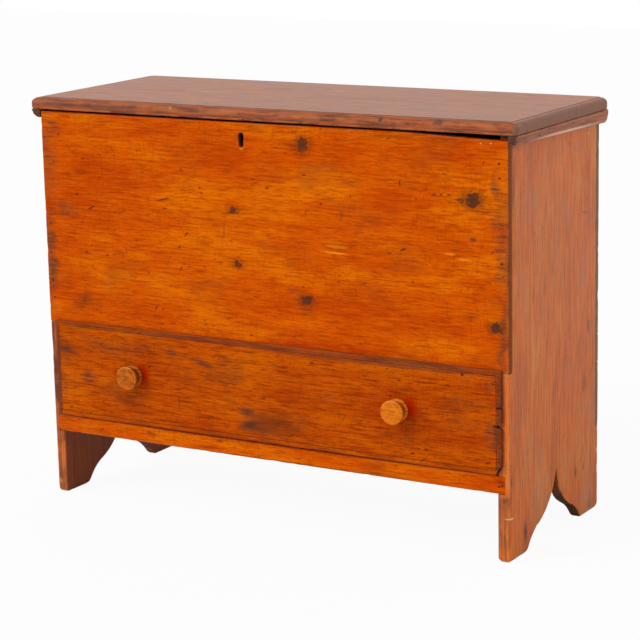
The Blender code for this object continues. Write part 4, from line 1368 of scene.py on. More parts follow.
@dataclass
class FrontBoard:
    """Front board of the well, with its keyhole, knots and dents.

    Attributes:
        droop: How far the upper edge is worn down at its right end.
        droop_from: Where that wear begins.
        fade: Height over which it runs out below the edge.
        ease: Radius of the arrises.
        keyhole_x: Middle of the keyhole.
        keyhole_top: Height of the middle of its upper round.
        keyhole_bottom: Height of the middle of its lower round.
        top_radius: Radius of the upper round.
        bottom_radius: Radius of the lower round.
        keyhole_depth: How far the keyhole is cut in.
        room_over_lock: How far the bed reaches over the lock's case.
    """

    droop: float = 0.0056
    droop_from: float = 0.26
    fade: float = 0.03
    ease: float = 0.0016
    keyhole_x: float = -0.041
    keyhole_top: float = 0.7127
    keyhole_bottom: float = 0.6961
    top_radius: float = 0.0059
    bottom_radius: float = 0.0048
    keyhole_depth: float = 0.009
    room_over_lock: float = 0.003

    def build(self) -> None:
        """Build the board, cut its keyhole and the bed of its lock, and dress it."""
        low, high = corners("front_board")
        outline = Squared((low[0], low[2]), (high[0], high[2]))
        slab = Slab(outline, Axis.Y, low[1], high[1], eased(self.ease), eased(self.ease), 0.001, 3.0)
        mesh = slab.body()
        for vertex in mesh.verts:
            ends = max(0.0, (vertex.co.x - self.droop_from) / (high[0] - self.droop_from))
            tops = max(0.0, (vertex.co.z - high[2] + self.fade) / self.fade)
            vertex.co.z -= self.droop * ends * ends * (3 - 2 * ends) * tops
        board = new_object("front_board_worn", mesh)
        carve(board, self._cutters(low[1], high[1]))
        material = self._timber().material("front_board")
        settle(board, material, "case", ["front_board"])

    def _cutters(self, face: float, inner: float) -> list[bpy.types.Object]:
        """The keyhole, narrower below than above, and the shallow bed that the lock lies in.

        Args:
            face: Place of the board's outer face.
            inner: Place of its inner face.

        Returns:
            The shapes to cut with.
        """
        points = rounded((self.keyhole_x, self.keyhole_top), self.top_radius, 0, 180, 14)
        points += rounded((self.keyhole_x, self.keyhole_bottom), self.bottom_radius, 180, 360, 14)
        sharp = [Step(0.0, 0.0)]
        slab = Slab(Sawn(points), Axis.Y, face - OVERCUT, face + self.keyhole_depth, sharp, sharp, 0)
        low, high = corners("lock_case")
        start = tuple(value - SEAT for value in low)
        end = (high[0] + SEAT, inner + OVERCUT, high[2] + self.room_over_lock)
        return [new_object("keyhole", slab.body()), cutter_box(start, end)]

    def _timber(self) -> Timber:
        """How the board was cut, with the knots and marks on its face.

        Returns:
            The timber.
        """
        face = corners("front_board")[0][1]
        red = srgb(150, 40, 6)
        brown = srgb(140, 54, 12)
        grey = srgb(112, 62, 36)
        dark = srgb(70, 34, 20)
        amber = srgb(250, 146, 24)
        knots = (
            Knot((0.085, face, 0.7035), (0.010, 0.0125), 0.8, 0.006),
            Knot((0.4158, face, 0.6277), (0.012, 0.0125), 0.9, 0.006),
            Knot((0.3927, face, 0.6261), (0.0052, 0.0052), 0.6, 0.003),
            Knot((-0.0612, face, 0.5777), (0.007, 0.0065), 0.75, 0.004),
            Knot((-0.0547, face, 0.4795), (0.0080, 0.0070), 0.7, 0.005),
            Knot((0.0875, face, 0.427), (0.0095, 0.009), 0.9, 0.005),
            Knot((0.4596, face, 0.412), (0.010, 0.0085), 0.9, 0.004),
        )
        groups = {
            red: [
                (-61.2, 653.9, 26, 10, 0.5), (120.8, 601.8, 3, 2.8, 0.95, 0, 0.3),
                (87, 650, 4, 2.5, 0.8, 0, 0.3),
            ],
            brown: [
                (-85.4, 571.3, 20, 10, 0.6), (-107.6, 548, 20, 12, 0.4),
                (89.3, 585.4, 2, 7.5, 0.8, 0, 0.4), (179.8, 618.6, 1.8, 5, 0.8, 0, 0.4),
                (181.4, 538.5, 27, 1.6, 0.55, 2, 0.5), (148, 527, 38, 6.2, 0.45, -2, 0.3),
                (391, 536.5, 18, 11, 0.45), (-240, 389, 14, 1.2, 0.8, -4, 0.4),
                (300, 640, 20, 5, 0.6, 0, 0, 1), (-347, 633, 1.3, 26, 0.5, 1, 0.4),
                (-400, 380, 50, 30, 0.7), (-398.8, 628.1, 18, 9, 0.9), (80, 410, 30, 22, 0.7),
                (437, 610, 30, 14, 0.7), (82, 690, 24, 16, 0.6), (420, 425, 30, 12, 0.6),
                (60, 702, 22, 12, 0.45), (300, 728, 200, 10, 0.45),
            ],
            grey: [
                (-82.2, 541.8, 4, 18, 0.4), (160.9, 583.4, 6, 14, 0.4),
                (137.9, 560.6, 11, 1.8, 0.5, 8, 0.4), (416.6, 560.7, 9, 4.5, 0.8),
                (458.9, 648.2, 20, 34, 0.8), (-430.6, 554.7, 34, 24, 0.9), (-470, 640, 34, 130, 0.8),
                (-475, 460, 20, 150, 0.85), (-455, 706, 22, 22, 0.7), (470, 560, 22, 120, 0.8),
                (478, 540, 5, 190, 0.5, 0, 0, 1), (470, 400, 16, 90, 0.8), (60, 440, 30, 10, 0.6),
            ],
            dark: [
                (-212.5, 587.4, 20, 2.2, 0.8, 14, 0.5), (-171.4, 644.4, 4.2, 1.8, 0.9, -50, 0.6),
                (-18.6, 636.9, 8, 1.8, 0.7, 4, 0.4), (-131.7, 613.5, 3, 2, 0.9, 0, 0.6),
                (10.9, 622.7, 6, 2.2, 0.8, 0, 0.5), (277.2, 648.4, 1.8, 6.5, 0.9, 0, 0.6),
                (342.7, 632.8, 5, 2.8, 0.7, 0, 0.4), (356, 633.7, 5, 2.8, 0.65, 0, 0.4),
                (371.2, 634, 6, 3, 0.7, 0, 0.4), (464.6, 692, 4, 3, 0.95, 0, 0.8),
                (465.8, 667.7, 3, 3, 0.9, 0, 0.8), (469, 523.7, 4, 3.5, 0.8, 0, 0.5),
                (-210.9, 726.1, 4, 1.5, 0.7, 30, 0.4), (-250, 449, 4.5, 1.4, 0.85, -48, 0.5),
                (-178, 463, 7.5, 1.4, 0.85, 50, 0.5), (-178, 505, 4, 1.4, 0.75, 70, 0.5),
                (-298, 487, 1.3, 9, 0.7, 8, 0.4), (-350, 660, 4, 1.4, 0.8, -35, 0.5),
                (-128, 604, 4, 1.8, 0.85, -30, 0.5), (-112, 627, 7, 1.4, 0.6, -8, 0.4),
                (300, 478, 4.2, 3.5, 0.6, -40, 0.5), (29.6, 694.7, 9, 1.2, 0.6, 2, 0.4),
                (-235.8, 383.8, 1.6, 10, 0.75, -38, 0.5), (-220.5, 383.3, 1.6, 4, 0.7, -30, 0.5),
                (-456.8, 642.3, 2.5, 2, 0.8, 0, 0.5), (-470.3, 524.8, 3, 2.5, 0.9, 0, 0.6),
                (-472.4, 469.8, 2.5, 2.5, 0.8, 0, 0.6), (-470.1, 416.2, 3, 2.5, 0.9, 0, 0.6),
                (-469.2, 384.3, 3, 2.5, 0.9, 0, 0.6),
            ],
            # Painted highlights on the lower lips of shallow gouges, and a pale spot under the keyhole
            amber: [
                (150, 528, 30, 4, 0.4, -2, 0), (146, 517, 36, 2.2, 0.85, -2, 0),
                (372, 533, 14, 3, 0.6, 0, 0), (400, 525, 20, 2.8, 0.7, -2, 0), (-41, 690, 5, 3.5, 0.5),
            ],
            srgb(225, 180, 140): [
                (430.9, 724.3, 1.9, 1.8, 0.8, 0, 0, 0.5), (449.7, 725.3, 2, 1.9, 0.8, 0, 0, 0.5),
            ],
        }
        marks = marks_on(Axis.Y, face, groups)
        # Painted shade inside the keyhole
        keyhole = {srgb(20, 12, 8): [(-41, 705, 13, 19, 0.95, 0, 0, 0.05, 0.0085)]}
        marks += marks_on(Axis.Y, face + 0.0085, keyhole)
        marks += marks_on(Axis.Y, face, {srgb(176, 44, 4): [(60, 348, 420, 10, 0.5)]})
        inner = Inner(face + 0.0125, face + 0.014)
        return Timber(FRONT_PINE, Axis.X, Axis.Z, (0.62, face + 0.12), 1.0, knots, marks, inner=inner)


@dataclass
class Carcass:
    """End boards, rail, back boards, floor and runners.

    Attributes:
        toe: How far the outer corners of the feet are worn.
        heel: How far their inner corners are worn.
        tread: Height up to which the feet are worn round.
        tread_wear: Share of a foot's thickness that is worn away at the floor.
        arch_top: Height of the cut-out between the feet.
        knee: Height at which its upper arcs meet its lower ones.
        apex_y: Place of its point.
        feet: Places of the feet's inner corners.
        knees: Places where the arcs meet.
        upper_bulge: Bulge of the upper arcs.
        lower_bulge: Bulge of the lower arcs.
        front_notch: How far the notch for the rail is open to the front.
        gap: Distance between the points of the outline.
    """

    toe: float = 0.009
    heel: float = 0.006
    tread: float = 0.009
    tread_wear: float = 0.34
    arch_top: float = 0.122
    knee: float = 0.037
    apex_y: float = 0.01975
    feet: Flat = (-0.10025, 0.12575)
    knees: Flat = (-0.06025, 0.08275)
    upper_bulge: float = -0.13
    lower_bulge: float = 0.08
    front_notch: float = 0.004
    gap: float = 0.008

    def build(self) -> None:
        """Build and dress every fixed board behind the front board."""
        for side in SIDES:
            self._end_board(side)
        self._rail()
        self._back_boards()
        self._inner_boards()

    def _outline(self) -> list[Flat]:
        """An end board seen from the right, notched for the front and the back boards.

        Returns:
            The outline's points.
        """
        low, high = corners("end_board_left")
        front_low, front_high = corners("front_board")
        back_low, _ = corners("back_board_lower")
        inner = front_high[1] + SEAT
        rear = back_low[1] - SEAT
        under = front_low[2] - SEAT
        hips = back_low[2] - SEAT
        apex = (self.apex_y, self.arch_top)
        knees = [(y, self.knee) for y in self.knees]
        feet = [(y, 0.0) for y in self.feet]
        toes = [(low[1], 0.0), (high[1], 0.0)]
        points = spread(toes[1], (high[1], hips), self.gap)
        points += [(high[1], hips)]
        points += spread((rear, hips), (rear, high[2]), self.gap)
        points += spread((rear, high[2]), (inner, high[2]), self.gap)
        points += spread((inner, high[2]), (inner, under), self.gap)
        points += [(inner, under)]
        points += spread((low[1], under), toes[0], self.gap)
        points += spread(toes[0], feet[0], self.gap)
        points += [feet[0]]
        points += bowed(feet[0], knees[0], self.lower_bulge, 8)
        points += bowed(knees[0], apex, self.upper_bulge, 16)
        points += bowed(apex, knees[1], self.upper_bulge, 16)
        points += bowed(knees[1], feet[1], self.lower_bulge, 8)
        points += spread(feet[1], toes[1], self.gap)[1:]
        worn = {toes[0]: self.toe, feet[0]: self.heel, feet[1]: self.heel, toes[1]: self.toe * 1.4}
        return softened(points, worn)

    def _end_board(self, side: str) -> None:
        """Build one end board with its bootjack feet.

        Args:
            side: Its side.
        """
        node = f"end_board_{side}"
        low, high = corners(node)
        outline = Sawn(self._outline())
        seed = 5.0 + SIDES[side]
        mesh = Slab(outline, Axis.X, low[0], high[0], eased(0.002), eased(0.002), 0.0012, seed).body()
        slice_up(mesh, Axis.Z, [self.tread * share for share in (1.3, 1.0, 0.6, 0.3)])
        edge = (low[0] + high[0]) / 2
        for vertex in mesh.verts:
            worn = max(0.0, 1 - vertex.co.z / self.tread)
            vertex.co.x = edge + (vertex.co.x - edge) * (1 - self.tread_wear * worn * worn)
        board = new_object(f"{node}_sawn", mesh)
        (x, y, z), rail_high = corners("bottom_rail")
        housings = (((x, y - self.front_notch, z), rail_high), corners("well_floor"))
        carve(board, [cutter_box(*housing, SEAT) for housing in housings])
        settle(board, self._end_timber(side).material(node), "case", [node])

    def _end_timber(self, side: str) -> Timber:
        """How an end board was cut, with its stains and a painted shadow under the lid.

        Args:
            side: Its side.

        Returns:
            The timber.
        """
        sign = SIDES[side]
        low, high = corners(f"end_board_{side}")
        inner, face = (low[0], high[0]) if sign > 0 else (high[0], low[0])
        edge = (low[0] + high[0]) / 2
        stain = srgb(84, 62, 50)
        worn = srgb(214, 164, 108)
        on_face = {
            stain: [
                (-107, 40, 27, 10, 0.95, 0, 0.02, 0.9), (-110, 62, 8, 3, 0.4),
                (100.8, 92.7, 14, 7.5, 0.55), (135, 94, 11, 4.5, 0.45), (-118.2, 132, 16, 2, 0.5),
                (153.6, 354.3, 20, 6, 0.75, 0, 0.02, 0.9), (138, 563, 3, 22, 0.35, 12),
                (-150, 660, 90, 12, 0.35), (-145, 715, 20, 22, 0.6), (165, 18, 22, 20, 0.6),
                (190, 500, 250, 7, 0.3),
            ],
            srgb(240, 190, 150): [(150, 702, 4, 3, 0.7)],
            srgb(60, 44, 36): [(-163.3, 144.2, 13, 3.5, 0.7, 0, 0.4)],
            srgb(196, 150, 120): [(150, 40, 70, 40, 0.45, 0, 0, 1)],
            srgb(206, 150, 104): [(-135, 4, 6, 30, 0.6), (160, 4, 6, 30, 0.5)],
        }
        on_edge = {
            # Painted shadow on the top of the front edge, under the lid
            srgb(30, 16, 10): [(-152, 738, 7, 12, 0.95, 0, 0, 0.3, 0.02)],
            srgb(96, 48, 26): [(-170, 112, 22, 8, 0.8, 0, 0, 0.8, 0.02)],
            srgb(100, 54, 30): [(-172, 28, 40, 10, 0.7, 0, 0, 0.8, 0.02)],
            worn: [(-165, 1, 3.5, 20, 0.9, 0, 0, 0.6, 0.02)],
        }
        marks = marks_on(Axis.X, face, on_face) + marks_on(Axis.X, edge, on_edge)
        if side == "left":
            knots = (Knot((face, 0.04, 0.47), (0.011, 0.008), 0.7, 0.005),)
            on_edge = {
                srgb(108, 44, 12): [(-172, 240, 380, 18, 0.85, 0, 0, 0.5, 0.06)],
                worn: [(-165, 18, 10, 8, 0.7, 0, 0, 0.9, 0.02)],
            }
            behind = [(-140, 10, 10, 14, 0.8, 0, 0, 1), (-118, 14, 8, 8, 0.7, 0, 0, 1)]
            marks += marks_on(Axis.X, edge, on_edge) + marks_on(Axis.X, inner, {srgb(196, 124, 50): behind})
        else:
            knots = (Knot((face, 0.138, 0.25), (0.012, 0.009), 0.35, 0.004),)
            on_edge = {
                srgb(196, 74, 4): [(-172, 250, 120, 12, 0.85, 0, 0, 0.4, 0.0125)],
                srgb(120, 62, 34): [(-172, 60, 100, 14, 0.7, 0, 0, 0.6, 0.03)],
            }
            chip = {srgb(246, 198, 142): [(-163, 79, 2.4, 13, 1, 6, 0.3, 0.6, 0.018)]}
            marks += marks_on(Axis.X, edge, on_edge) + marks_on(Axis.X, face, chip)
        return Timber(
            SIDE_PINE,
            Axis.Z,
            Axis.Y,
            (0.05 * sign, face - sign * 0.11),
            8.0 + 2 * sign,
            knots,
            marks,
            inner=Inner(inner + sign * 0.003, inner + sign * 0.001, 0.345, srgb(104, 40, 8)),
            sawing=Sawing(0.135, -0.166, srgb(66, 42, 28)),
        )

    def _rail(self) -> None:
        """Build the rail under the drawer."""
        low, _ = corners("bottom_rail")
        face = low[1]
        groups = {
            # Smudges
            srgb(128, 48, 12): [
                (-256.4, 140.2, 17, 10, 0.7), (-106, 146.5, 10, 4, 0.6), (462, 146, 12, 10, 0.6),
            ],
            # Dents
            srgb(66, 34, 22): [
                (461.6, 135.4, 3, 2.8, 0.9, 0, 0.6), (467.3, 137.9, 3, 2.8, 0.85, 0, 0.6),
                (-473.2, 125.3, 3, 2.6, 0.9, 0, 0.5),
            ],
            # Painted shadow under the drawer's lip, along the top of the rail
            srgb(104, 44, 22): [(0, 154.5, 470, 5, 0.7)],
            srgb(120, 46, 14): [(100, 124, 300, 2.2, 0.5)],
        }
        marks = marks_on(Axis.Y, face, groups)
        timber = Timber(FRONT_PINE, Axis.X, Axis.Z, (0.2, face + 0.09), 21.0, (), marks)
        plank("bottom_rail", timber, "case", 0.0018, 0.001, (Side.LEFT, Side.RIGHT))

    def _back_boards(self) -> None:
        """Build the three boards across the back."""
        stain = srgb(120, 84, 54)
        for number, part in enumerate(("lower", "middle", "upper")):
            node = f"back_board_{part}"
            low, high = corners(node)
            knots = ()
            if part == "upper":
                knots = (
                    Knot((-0.21, high[1], 0.60), (0.014, 0.011), 0.8, 0.006),
                    Knot((0.17, high[1], 0.44), (0.010, 0.008), 0.7, 0.005),
                )
            height = (low[2] + high[2]) / 2
            marks = [Mark((0.3 - 0.2 * number, high[1], height), (0.12, 0.03), stain, 0.4)]
            heart = (height - 0.05, high[1] - 0.08)
            timber = Timber(BARE_PINE, Axis.X, Axis.Z, heart, 31.0 + number, knots, marks)
            plank(node, timber, "case", 0.001)

    def _inner_boards(self) -> None:
        """Build the floor of the well and the runners under the drawer."""
        _, high = corners("well_floor")
        timber = Timber(BARE_PINE, Axis.X, Axis.Y, (0.03, high[2] - 0.1), 41.0)
        plank("well_floor", timber, "case")
        for side, sign in SIDES.items():
            node = f"drawer_runner_{side}"
            low, _ = corners(node)
            timber = Timber(BARE_PINE, Axis.Y, Axis.X, (low[0] - 0.03, 0.08), 44.0 + sign)
            plank(node, timber, "case")


@dataclass
class Lid:
    """Lid board with its moulding, and the cleats under its ends.

    Attributes:
        mould_width: How far the moulding reaches in from the edge.
        mould_drop: How far the moulding falls below the top.
        mould_step: Depth of the small step at its inner side.
        nose: Radius under the edge.
        corner: Radius of the front corners, seen from above.
        taper: Length over which a cleat's front end narrows downwards.
        leaf: How deep the leaves of the hinges are let in.
        cleat_front: Height of a cleat's front end.
        front_radius: Radius under a cleat's front end.
        back_radius: Radius under its back end.
    """

    mould_width: float = 0.0138
    mould_drop: float = 0.0102
    mould_step: float = 0.0008
    nose: float = 0.003
    corner: float = 0.009
    taper: float = 0.032
    leaf: float = 0.0018
    cleat_front: float = 0.0165
    front_radius: float = 0.0075
    back_radius: float = 0.017

    def build(self) -> None:
        """Build and dress the lid and its cleats."""
        self._board()
        for side in SIDES:
            self._cleat(side)

    def _board(self) -> None:
        """Build the lid board, moulded along its front and ends."""
        low, high = corners("lid_board")
        outline = Squared((low[0], low[1]), (high[0], high[1]), self.corner, (Side.HIGH,))
        sizes = (self.mould_width, self.mould_step, self.mould_drop)
        above = moulding(*sizes, 9, (0.004, 0.0009), 0.9, (0.25, 0.5))
        above.append(Step(0.0, self.mould_drop + 0.003, 0.4))
        slab = Slab(outline, Axis.Z, low[2], high[2], eased(self.nose, 4), above, 0.0012, 12.0)
        board = new_object("lid_board_moulded", slab.body())
        cutters = []
        for node in ("hinge_lid_leaf_left", "hinge_lid_leaf_right", "lock_staple"):
            (x, y, _), end = corners(node)
            top, back = (end[2], SEAT) if node == "lock_staple" else (low[2] + self.leaf, 2 * OVERCUT)
            start = (x - SEAT, y - SEAT, low[2] - OVERCUT)
            cutters.append(cutter_box(start, (end[0] + SEAT, end[1] + back, top + SEAT)))
        carve(board, cutters)
        settle(board, self._timber().material("lid_board"), "lid", ["lid_board"])

    def _timber(self) -> Timber:
        """How the lid was cut, with the holes and marks on it.

        Returns:
            The timber.
        """
        low, high = corners("lid_board")
        top = high[2]
        hole = srgb(50, 28, 22)
        smudge = srgb(96, 56, 40)
        on_top = {
            hole: [
                (348, -137, 4, 3, 0.9, 0, 0.6), (420, -130, 4, 3, 0.9, 0, 0.6),
                (450, -116, 2.5, 2, 0.7, 0, 0.5), (461, 61, 3, 3, 0.8, 0, 0.5),
                (-417, -154, 4, 3, 0.9, 0, 0.6), (-482, -117, 5, 3, 0.8, 0, 0.6),
                (-480, -1, 4, 3, 0.8, 0, 0.6),
            ],
            smudge: [
                (-296, 184, 12, 6, 0.6), (286, 175, 12, 6, 0.6), (100, 20, 200, 30, 0.25),
                (-250, 60, 160, 20, 0.2),
            ],
        }
        lower = (
            (6, srgb(74, 46, 40), (355, -176, 13, 10, 0.75, 0, 0.3)),
            (7, hole, (245, -177, 6, 8, 0.7, 0, 0.3)),
            (8, srgb(78, 44, 34), (-140, -178, 30, 10, 0.6)),
            (5, srgb(216, 130, 50), (-185, -178, 5, 3, 0.6)),
            (10, srgb(80, 46, 32), (-360, -180, 220, 14, 0.7, 0, 0.02, 1)),
            (9, srgb(96, 62, 48), (-300, -178, 50, 8, 0.6)),
            (10, hole, (499.5, -55, 4, 1.2, 0.8, 0, 0.4)),
            (11.6, hole, (499.5, 58, 5, 1.6, 0.7, 0, 0.4)),
            (17.7, hole, (499.5, -138, 5, 3, 0.9, 0, 0.5, 0.6, 0.003)),
            (6, srgb(182, 142, 118), (498, -162, 12, 20, 0.6, 0, 0, 0.9)),
            (3, srgb(196, 130, 84), (492, -183.6, 11, 6, 0.6, 0, 0, 0.9)),
        )
        marks = marks_on(Axis.Z, top, on_top)
        for depth, colour, row in lower:
            marks += marks_on(Axis.Z, top - depth / MILLIMETRES, {colour: [row]})
        knots = (Knot((-0.12, 0.09, top), (0.012, 0.010), 0.4, 0.005),)
        band = Band({Side.LOW: low[1]}, 0.0125, srgb(90, 42, 22), srgb(174, 78, 24), 0.9)
        inner = Inner(low[2] + 0.0006, low[2] + 0.0001)
        heart = (-0.05, top + 0.13)
        return Timber(LID_PINE, Axis.X, Axis.Y, heart, 51.0, knots, marks, band, inner, end_from=0.14)

    def _cleat(self, side: str) -> None:
        """Build one cleat, deeper at the back than at the front and rounded at both ends.

        Args:
            side: Its side.
        """
        node = f"lid_cleat_{side}"
        sign = SIDES[side]
        low, high = corners(node)
        gap = 0.009
        top = high[2]
        bottom_front = top - self.cleat_front
        front_middle = (low[1] + self.front_radius, bottom_front + self.front_radius)
        back_middle = (high[1] - self.back_radius, low[2] + self.back_radius)
        points = spread((high[1], top), (low[1], top), gap)
        points += [(low[1], top)]
        points += rounded(front_middle, self.front_radius, 180, 270, 8)
        foremost = points.pop()
        lowest = (high[1] - self.back_radius, low[2])
        points += spread(foremost, lowest, gap)
        points += rounded(back_middle, self.back_radius, 270, 360, 10)
        arris = eased(0.0026)
        mesh = Slab(Sawn(points), Axis.X, low[0], high[0], arris, arris, 0.0008, 61.0 + sign).body()
        slice_up(mesh, Axis.Y, [low[1] + self.taper * share for share in (0.25, 0.5, 0.75, 1.0, 1.2)])
        inner, face = (low[0], high[0]) if sign > 0 else (high[0], low[0])
        narrowing = 0.3 if sign > 0 else 0.8
        for vertex in mesh.verts:
            near = max(0.0, 1 - (vertex.co.y - low[1]) / self.taper)
            under = min(1.0, (top - vertex.co.z) / self.cleat_front)
            vertex.co.x = inner + (vertex.co.x - inner) * (1 - narrowing * near * under * under)
        cleat = new_object(f"{node}_shaped", mesh)
        groups = {
            srgb(40, 24, 18): [(-89.3, 730.6, 4.5, 3.5, 0.9, 0, 0.6), (-140, 739, 3, 2, 0.9, 0, 0.5)],
            # Painted shade on the front end, under the lid, over its dark end grain
            srgb(66, 36, 24): [(-176, 732, 8, 12, 0.9, 0, 0, 0.6, 0.03)],
        }
        marks = marks_on(Axis.X, face, groups)
        # A pale band along the lower edge: painted highlight from light off the floor, and pale wear
        middle = (face, (foremost[0] + lowest[0]) / 2 + 0.02, (foremost[1] + lowest[1]) / 2 + 0.0034)
        slope = math.degrees(math.atan2(lowest[1] - foremost[1], lowest[0] - foremost[0]))
        marks.append(Mark(middle, (0.19, 0.0036), srgb(240, 196, 164), 1.0, slope, 0, 0.9))
        timber = Timber(CLEAT_PINE, Axis.Y, Axis.Z, (0.70, face - sign * 0.04), 65.0 + sign, (), marks)
        settle(cleat, timber.material(node), "lid", [node])


@dataclass
class Drawer:
    """Drawer with its moulded and chipped front, its box and its turned knobs.

    Attributes:
        lip: Thickness of the lip.
        lip_edge: Thickness of the lip at its edge.
        mould_width: How far its moulding reaches in.
        mould_step: Depth of the small step at its inner side.
        corner: Radius of the lip's corners.
        knob_steps: How many flats go round a knob.
    """

    lip: float = 0.007
    lip_edge: float = 0.003
    mould_width: float = 0.0095
    mould_step: float = 0.0006
    corner: float = 0.003
    knob_steps: int = 72

    def build(self) -> None:
        """Build and dress the front, the box and the knobs."""
        self._front()
        self._box()
        for side in SIDES:
            self._knob(side)

    def _front(self) -> None:
        """Build the front: a lip over the case, and the body behind it."""
        low, high = corners("drawer_front")
        side_low, side_high = corners("drawer_side_left")
        lip_back = low[1] + self.lip
        outline = Squared((low[0], low[2]), (high[0], high[2]), self.corner, (), 0.007)
        drop = self.lip - self.lip_edge
        below = moulding(self.mould_width, self.mould_step, drop, 7, (0.003, 0.0008), 0.88, (0.2, 0.6))
        above = [Step(0.003, 0.0), Step(0.0, 0.0005, 0.8)]
        lip = Slab(outline, Axis.Y, low[1], lip_back, below, above, 0.0012, 71.0)
        front = new_object("drawer_front_moulded", lip.body())
        half = corners("drawer_back")[1][0]
        body = cutter_box((-half, lip_back - 0.001, side_low[2] + 0.0028), (half, high[1], side_high[2]))
        middle = low[1] + self.lip / 2
        right = high[0]
        splinters = [
            wedge((right - 0.002, middle, 0.2758), (0.014, 0.010, 0.0024), (0, -8, 0), 1.0),
            wedge((right - 0.0025, middle, 0.2425), (0.012, 0.010, 0.0046), (0, 24, 0), 2.0),
            wedge((right - 0.001, middle, 0.2455), (0.007, 0.010, 0.0046), (0, -30, 0), 3.0),
            wedge((right - 0.0005, middle, low[2] + 0.004), (0.030, 0.012, 0.012), (0, -58, 0), 4.0),
        ]
        carve(front, splinters, [body])
        material = self._timber().material("drawer_front")
        settle(front, material, "drawer", ["drawer_front"])

    def _timber(self) -> Timber:
        """How the front was cut, with its smudges and scratches, and painted shade and sheen.

        Returns:
            The timber.
        """
        low, high = corners("drawer_front")
        face = low[1]
        right = high[0] * MILLIMETRES
        bottom = low[2] * MILLIMETRES
        groups = {
            # Grey smudges
            srgb(98, 52, 36): [
                (-31.5, 186, 40, 17, 0.9), (-40, 212.7, 30, 18, 0.7), (-199.9, 303, 24, 9, 0.7),
                (-143, 294.9, 34, 9, 0.7, -6), (128, 254.3, 28, 12, 0.4), (-440, 286.4, 34, 10, 0.8),
                (-391.7, 237.7, 34, 26, 0.6), (-330, 300, 90, 20, 0.4), (450, 235, 16, 60, 0.45),
                (448, 310, 18, 14, 0.5), (-452, 215, 10, 60, 0.35), (200, 330, 300, 6, 0.5),
                (-100, 334, 300, 4, 0.4),
            ],
            # Scratches
            srgb(62, 32, 20): [(-165, 299, 45, 2.2, 0.5, -5, 0.3), (-188, 212, 1.6, 20, 0.5, 1, 0.4)],
            # Brown smudges
            srgb(124, 50, 14): [
                (-314.7, 207.6, 28, 14, 0.45), (-290, 205, 50, 30, 0.7), (30, 200, 70, 35, 0.7),
            ],
            srgb(140, 44, 10): [(102.1, 200.9, 18, 8, 0.55)],
            # Nail holes, and painted shadow inside the chips
            srgb(28, 12, 6): [
                (-461.5, 256.7, 3.2, 3, 0.95, 0, 0.6), (-461.5, 167, 3.2, 3, 0.95, 0, 0.6),
                (-457, 149, 3, 3, 0.9, 0, 0.6), (right - 7, 243, 10, 3.6, 1, -8, 0.6, 0.4, 0.012),
                (right - 4, 276, 7, 2.2, 1, 0, 0.6, 0.3, 0.012),
                (right - 6, bottom + 8, 12, 2.6, 1, 58, 0.6, 0.4, 0.012),
            ],
            # Grey-brown dirt and dents on the lip, with painted sheen along the top lip
            srgb(104, 56, 36): [
                (-461.5, 240, 5.5, 160, 0.8, 0, 0, 0.8),
                (right - 3.5, 240, 9, 170, 0.9, 0, 0, 0.4, 0.012), (330, 337, 190, 8, 0.7, 0, 0, 0.8),
            ],
            # Painted shade beside the knobs, reddened as if by light bounced off them
            srgb(172, 24, 0): [
                (-268, 257, 24, 30, 0.9, 0, 0.01, 0.9), (295, 257, 24, 30, 0.9, 0, 0.01, 0.9),
            ],
        }
        knots = (Knot((0.25, face, 0.205), (0.007, 0.005), 0.35, 0.004),)
        edges = {Side.LEFT: low[0], Side.RIGHT: high[0], Side.HIGH: high[2]}
        band = Band(edges, 0.0088, srgb(96, 42, 20), srgb(156, 68, 28), 0.75)
        inner = Inner(face + 0.0165, face + 0.018)
        marks = marks_on(Axis.Y, face, groups)
        return Timber(DRAWER_PINE, Axis.X, Axis.Z, (0.12, face + 0.10), 75.0, knots, marks, band, inner)

    def _box(self) -> None:
        """Build the sides, the back and the bottom of the drawer."""
        for side, sign in SIDES.items():
            node = f"drawer_side_{side}"
            low, _ = corners(node)
            knots = (Knot((low[0], 0.03, 0.25), (0.009, 0.007), 0.6, 0.004),) if sign > 0 else ()
            timber = Timber(BARE_PINE, Axis.Y, Axis.Z, (0.20, low[0] - 0.07), 81.0 + sign, knots)
            plank(node, timber, "drawer")
        _, high = corners("drawer_back")
        timber = Timber(BARE_PINE, Axis.X, Axis.Z, (0.31, high[1] + 0.06), 84.0)
        plank("drawer_back", timber, "drawer")
        _, high = corners("drawer_bottom")
        timber = Timber(BARE_PINE, Axis.X, Axis.Y, (0.02, high[2] + 0.09), 86.0)
        plank("drawer_bottom", timber, "drawer", 0.0008)

    def _knob(self, side: str) -> None:
        """Turn one knob with its tenon.

        Args:
            side: Its side.
        """
        node = f"knob_{side}"
        low, high = corners(node)
        face = corners("drawer_front")[0][1]
        middle = ((low[0] + high[0]) / 2, face, (low[2] + high[2]) / 2)
        reach = face - low[1]
        radius = (high[0] - low[0]) / 2
        mesh = bmesh.new()
        rows = [mesh.verts.new((x, 0.0, y)) for x, y in self._profile(reach, radius, high[1] - face)]
        for ends in zip(rows, rows[1:]):
            mesh.edges.new(ends)
        turned = new_object(f"{node}_turned", mesh)
        screw = turned.modifiers.new("turn", "SCREW")
        screw.steps = self.knob_steps
        screw.render_steps = self.knob_steps
        screw.use_merge_vertices = True
        screw.merge_threshold = 0.00001
        bake(turned)
        lathe = bmesh.new()
        lathe.from_mesh(turned.data)
        bmesh.ops.remove_doubles(lathe, verts=lathe.verts, dist=0.00002)
        lathe.transform(Matrix.Translation(middle) @ Matrix.Rotation(math.pi / 2, 4, "X"))
        bmesh.ops.recalc_face_normals(lathe, faces=lathe.faces)
        lathe.to_mesh(turned.data)
        lathe.free()
        smooth(turned.data)
        dull = TurnedWood(srgb(196, 96, 6), srgb(116, 46, 4), scratches=0.7)
        wood = dull if side == "left" else TurnedWood()
        settle(turned, wood.material(side, middle, reach, radius), "drawer", [node])

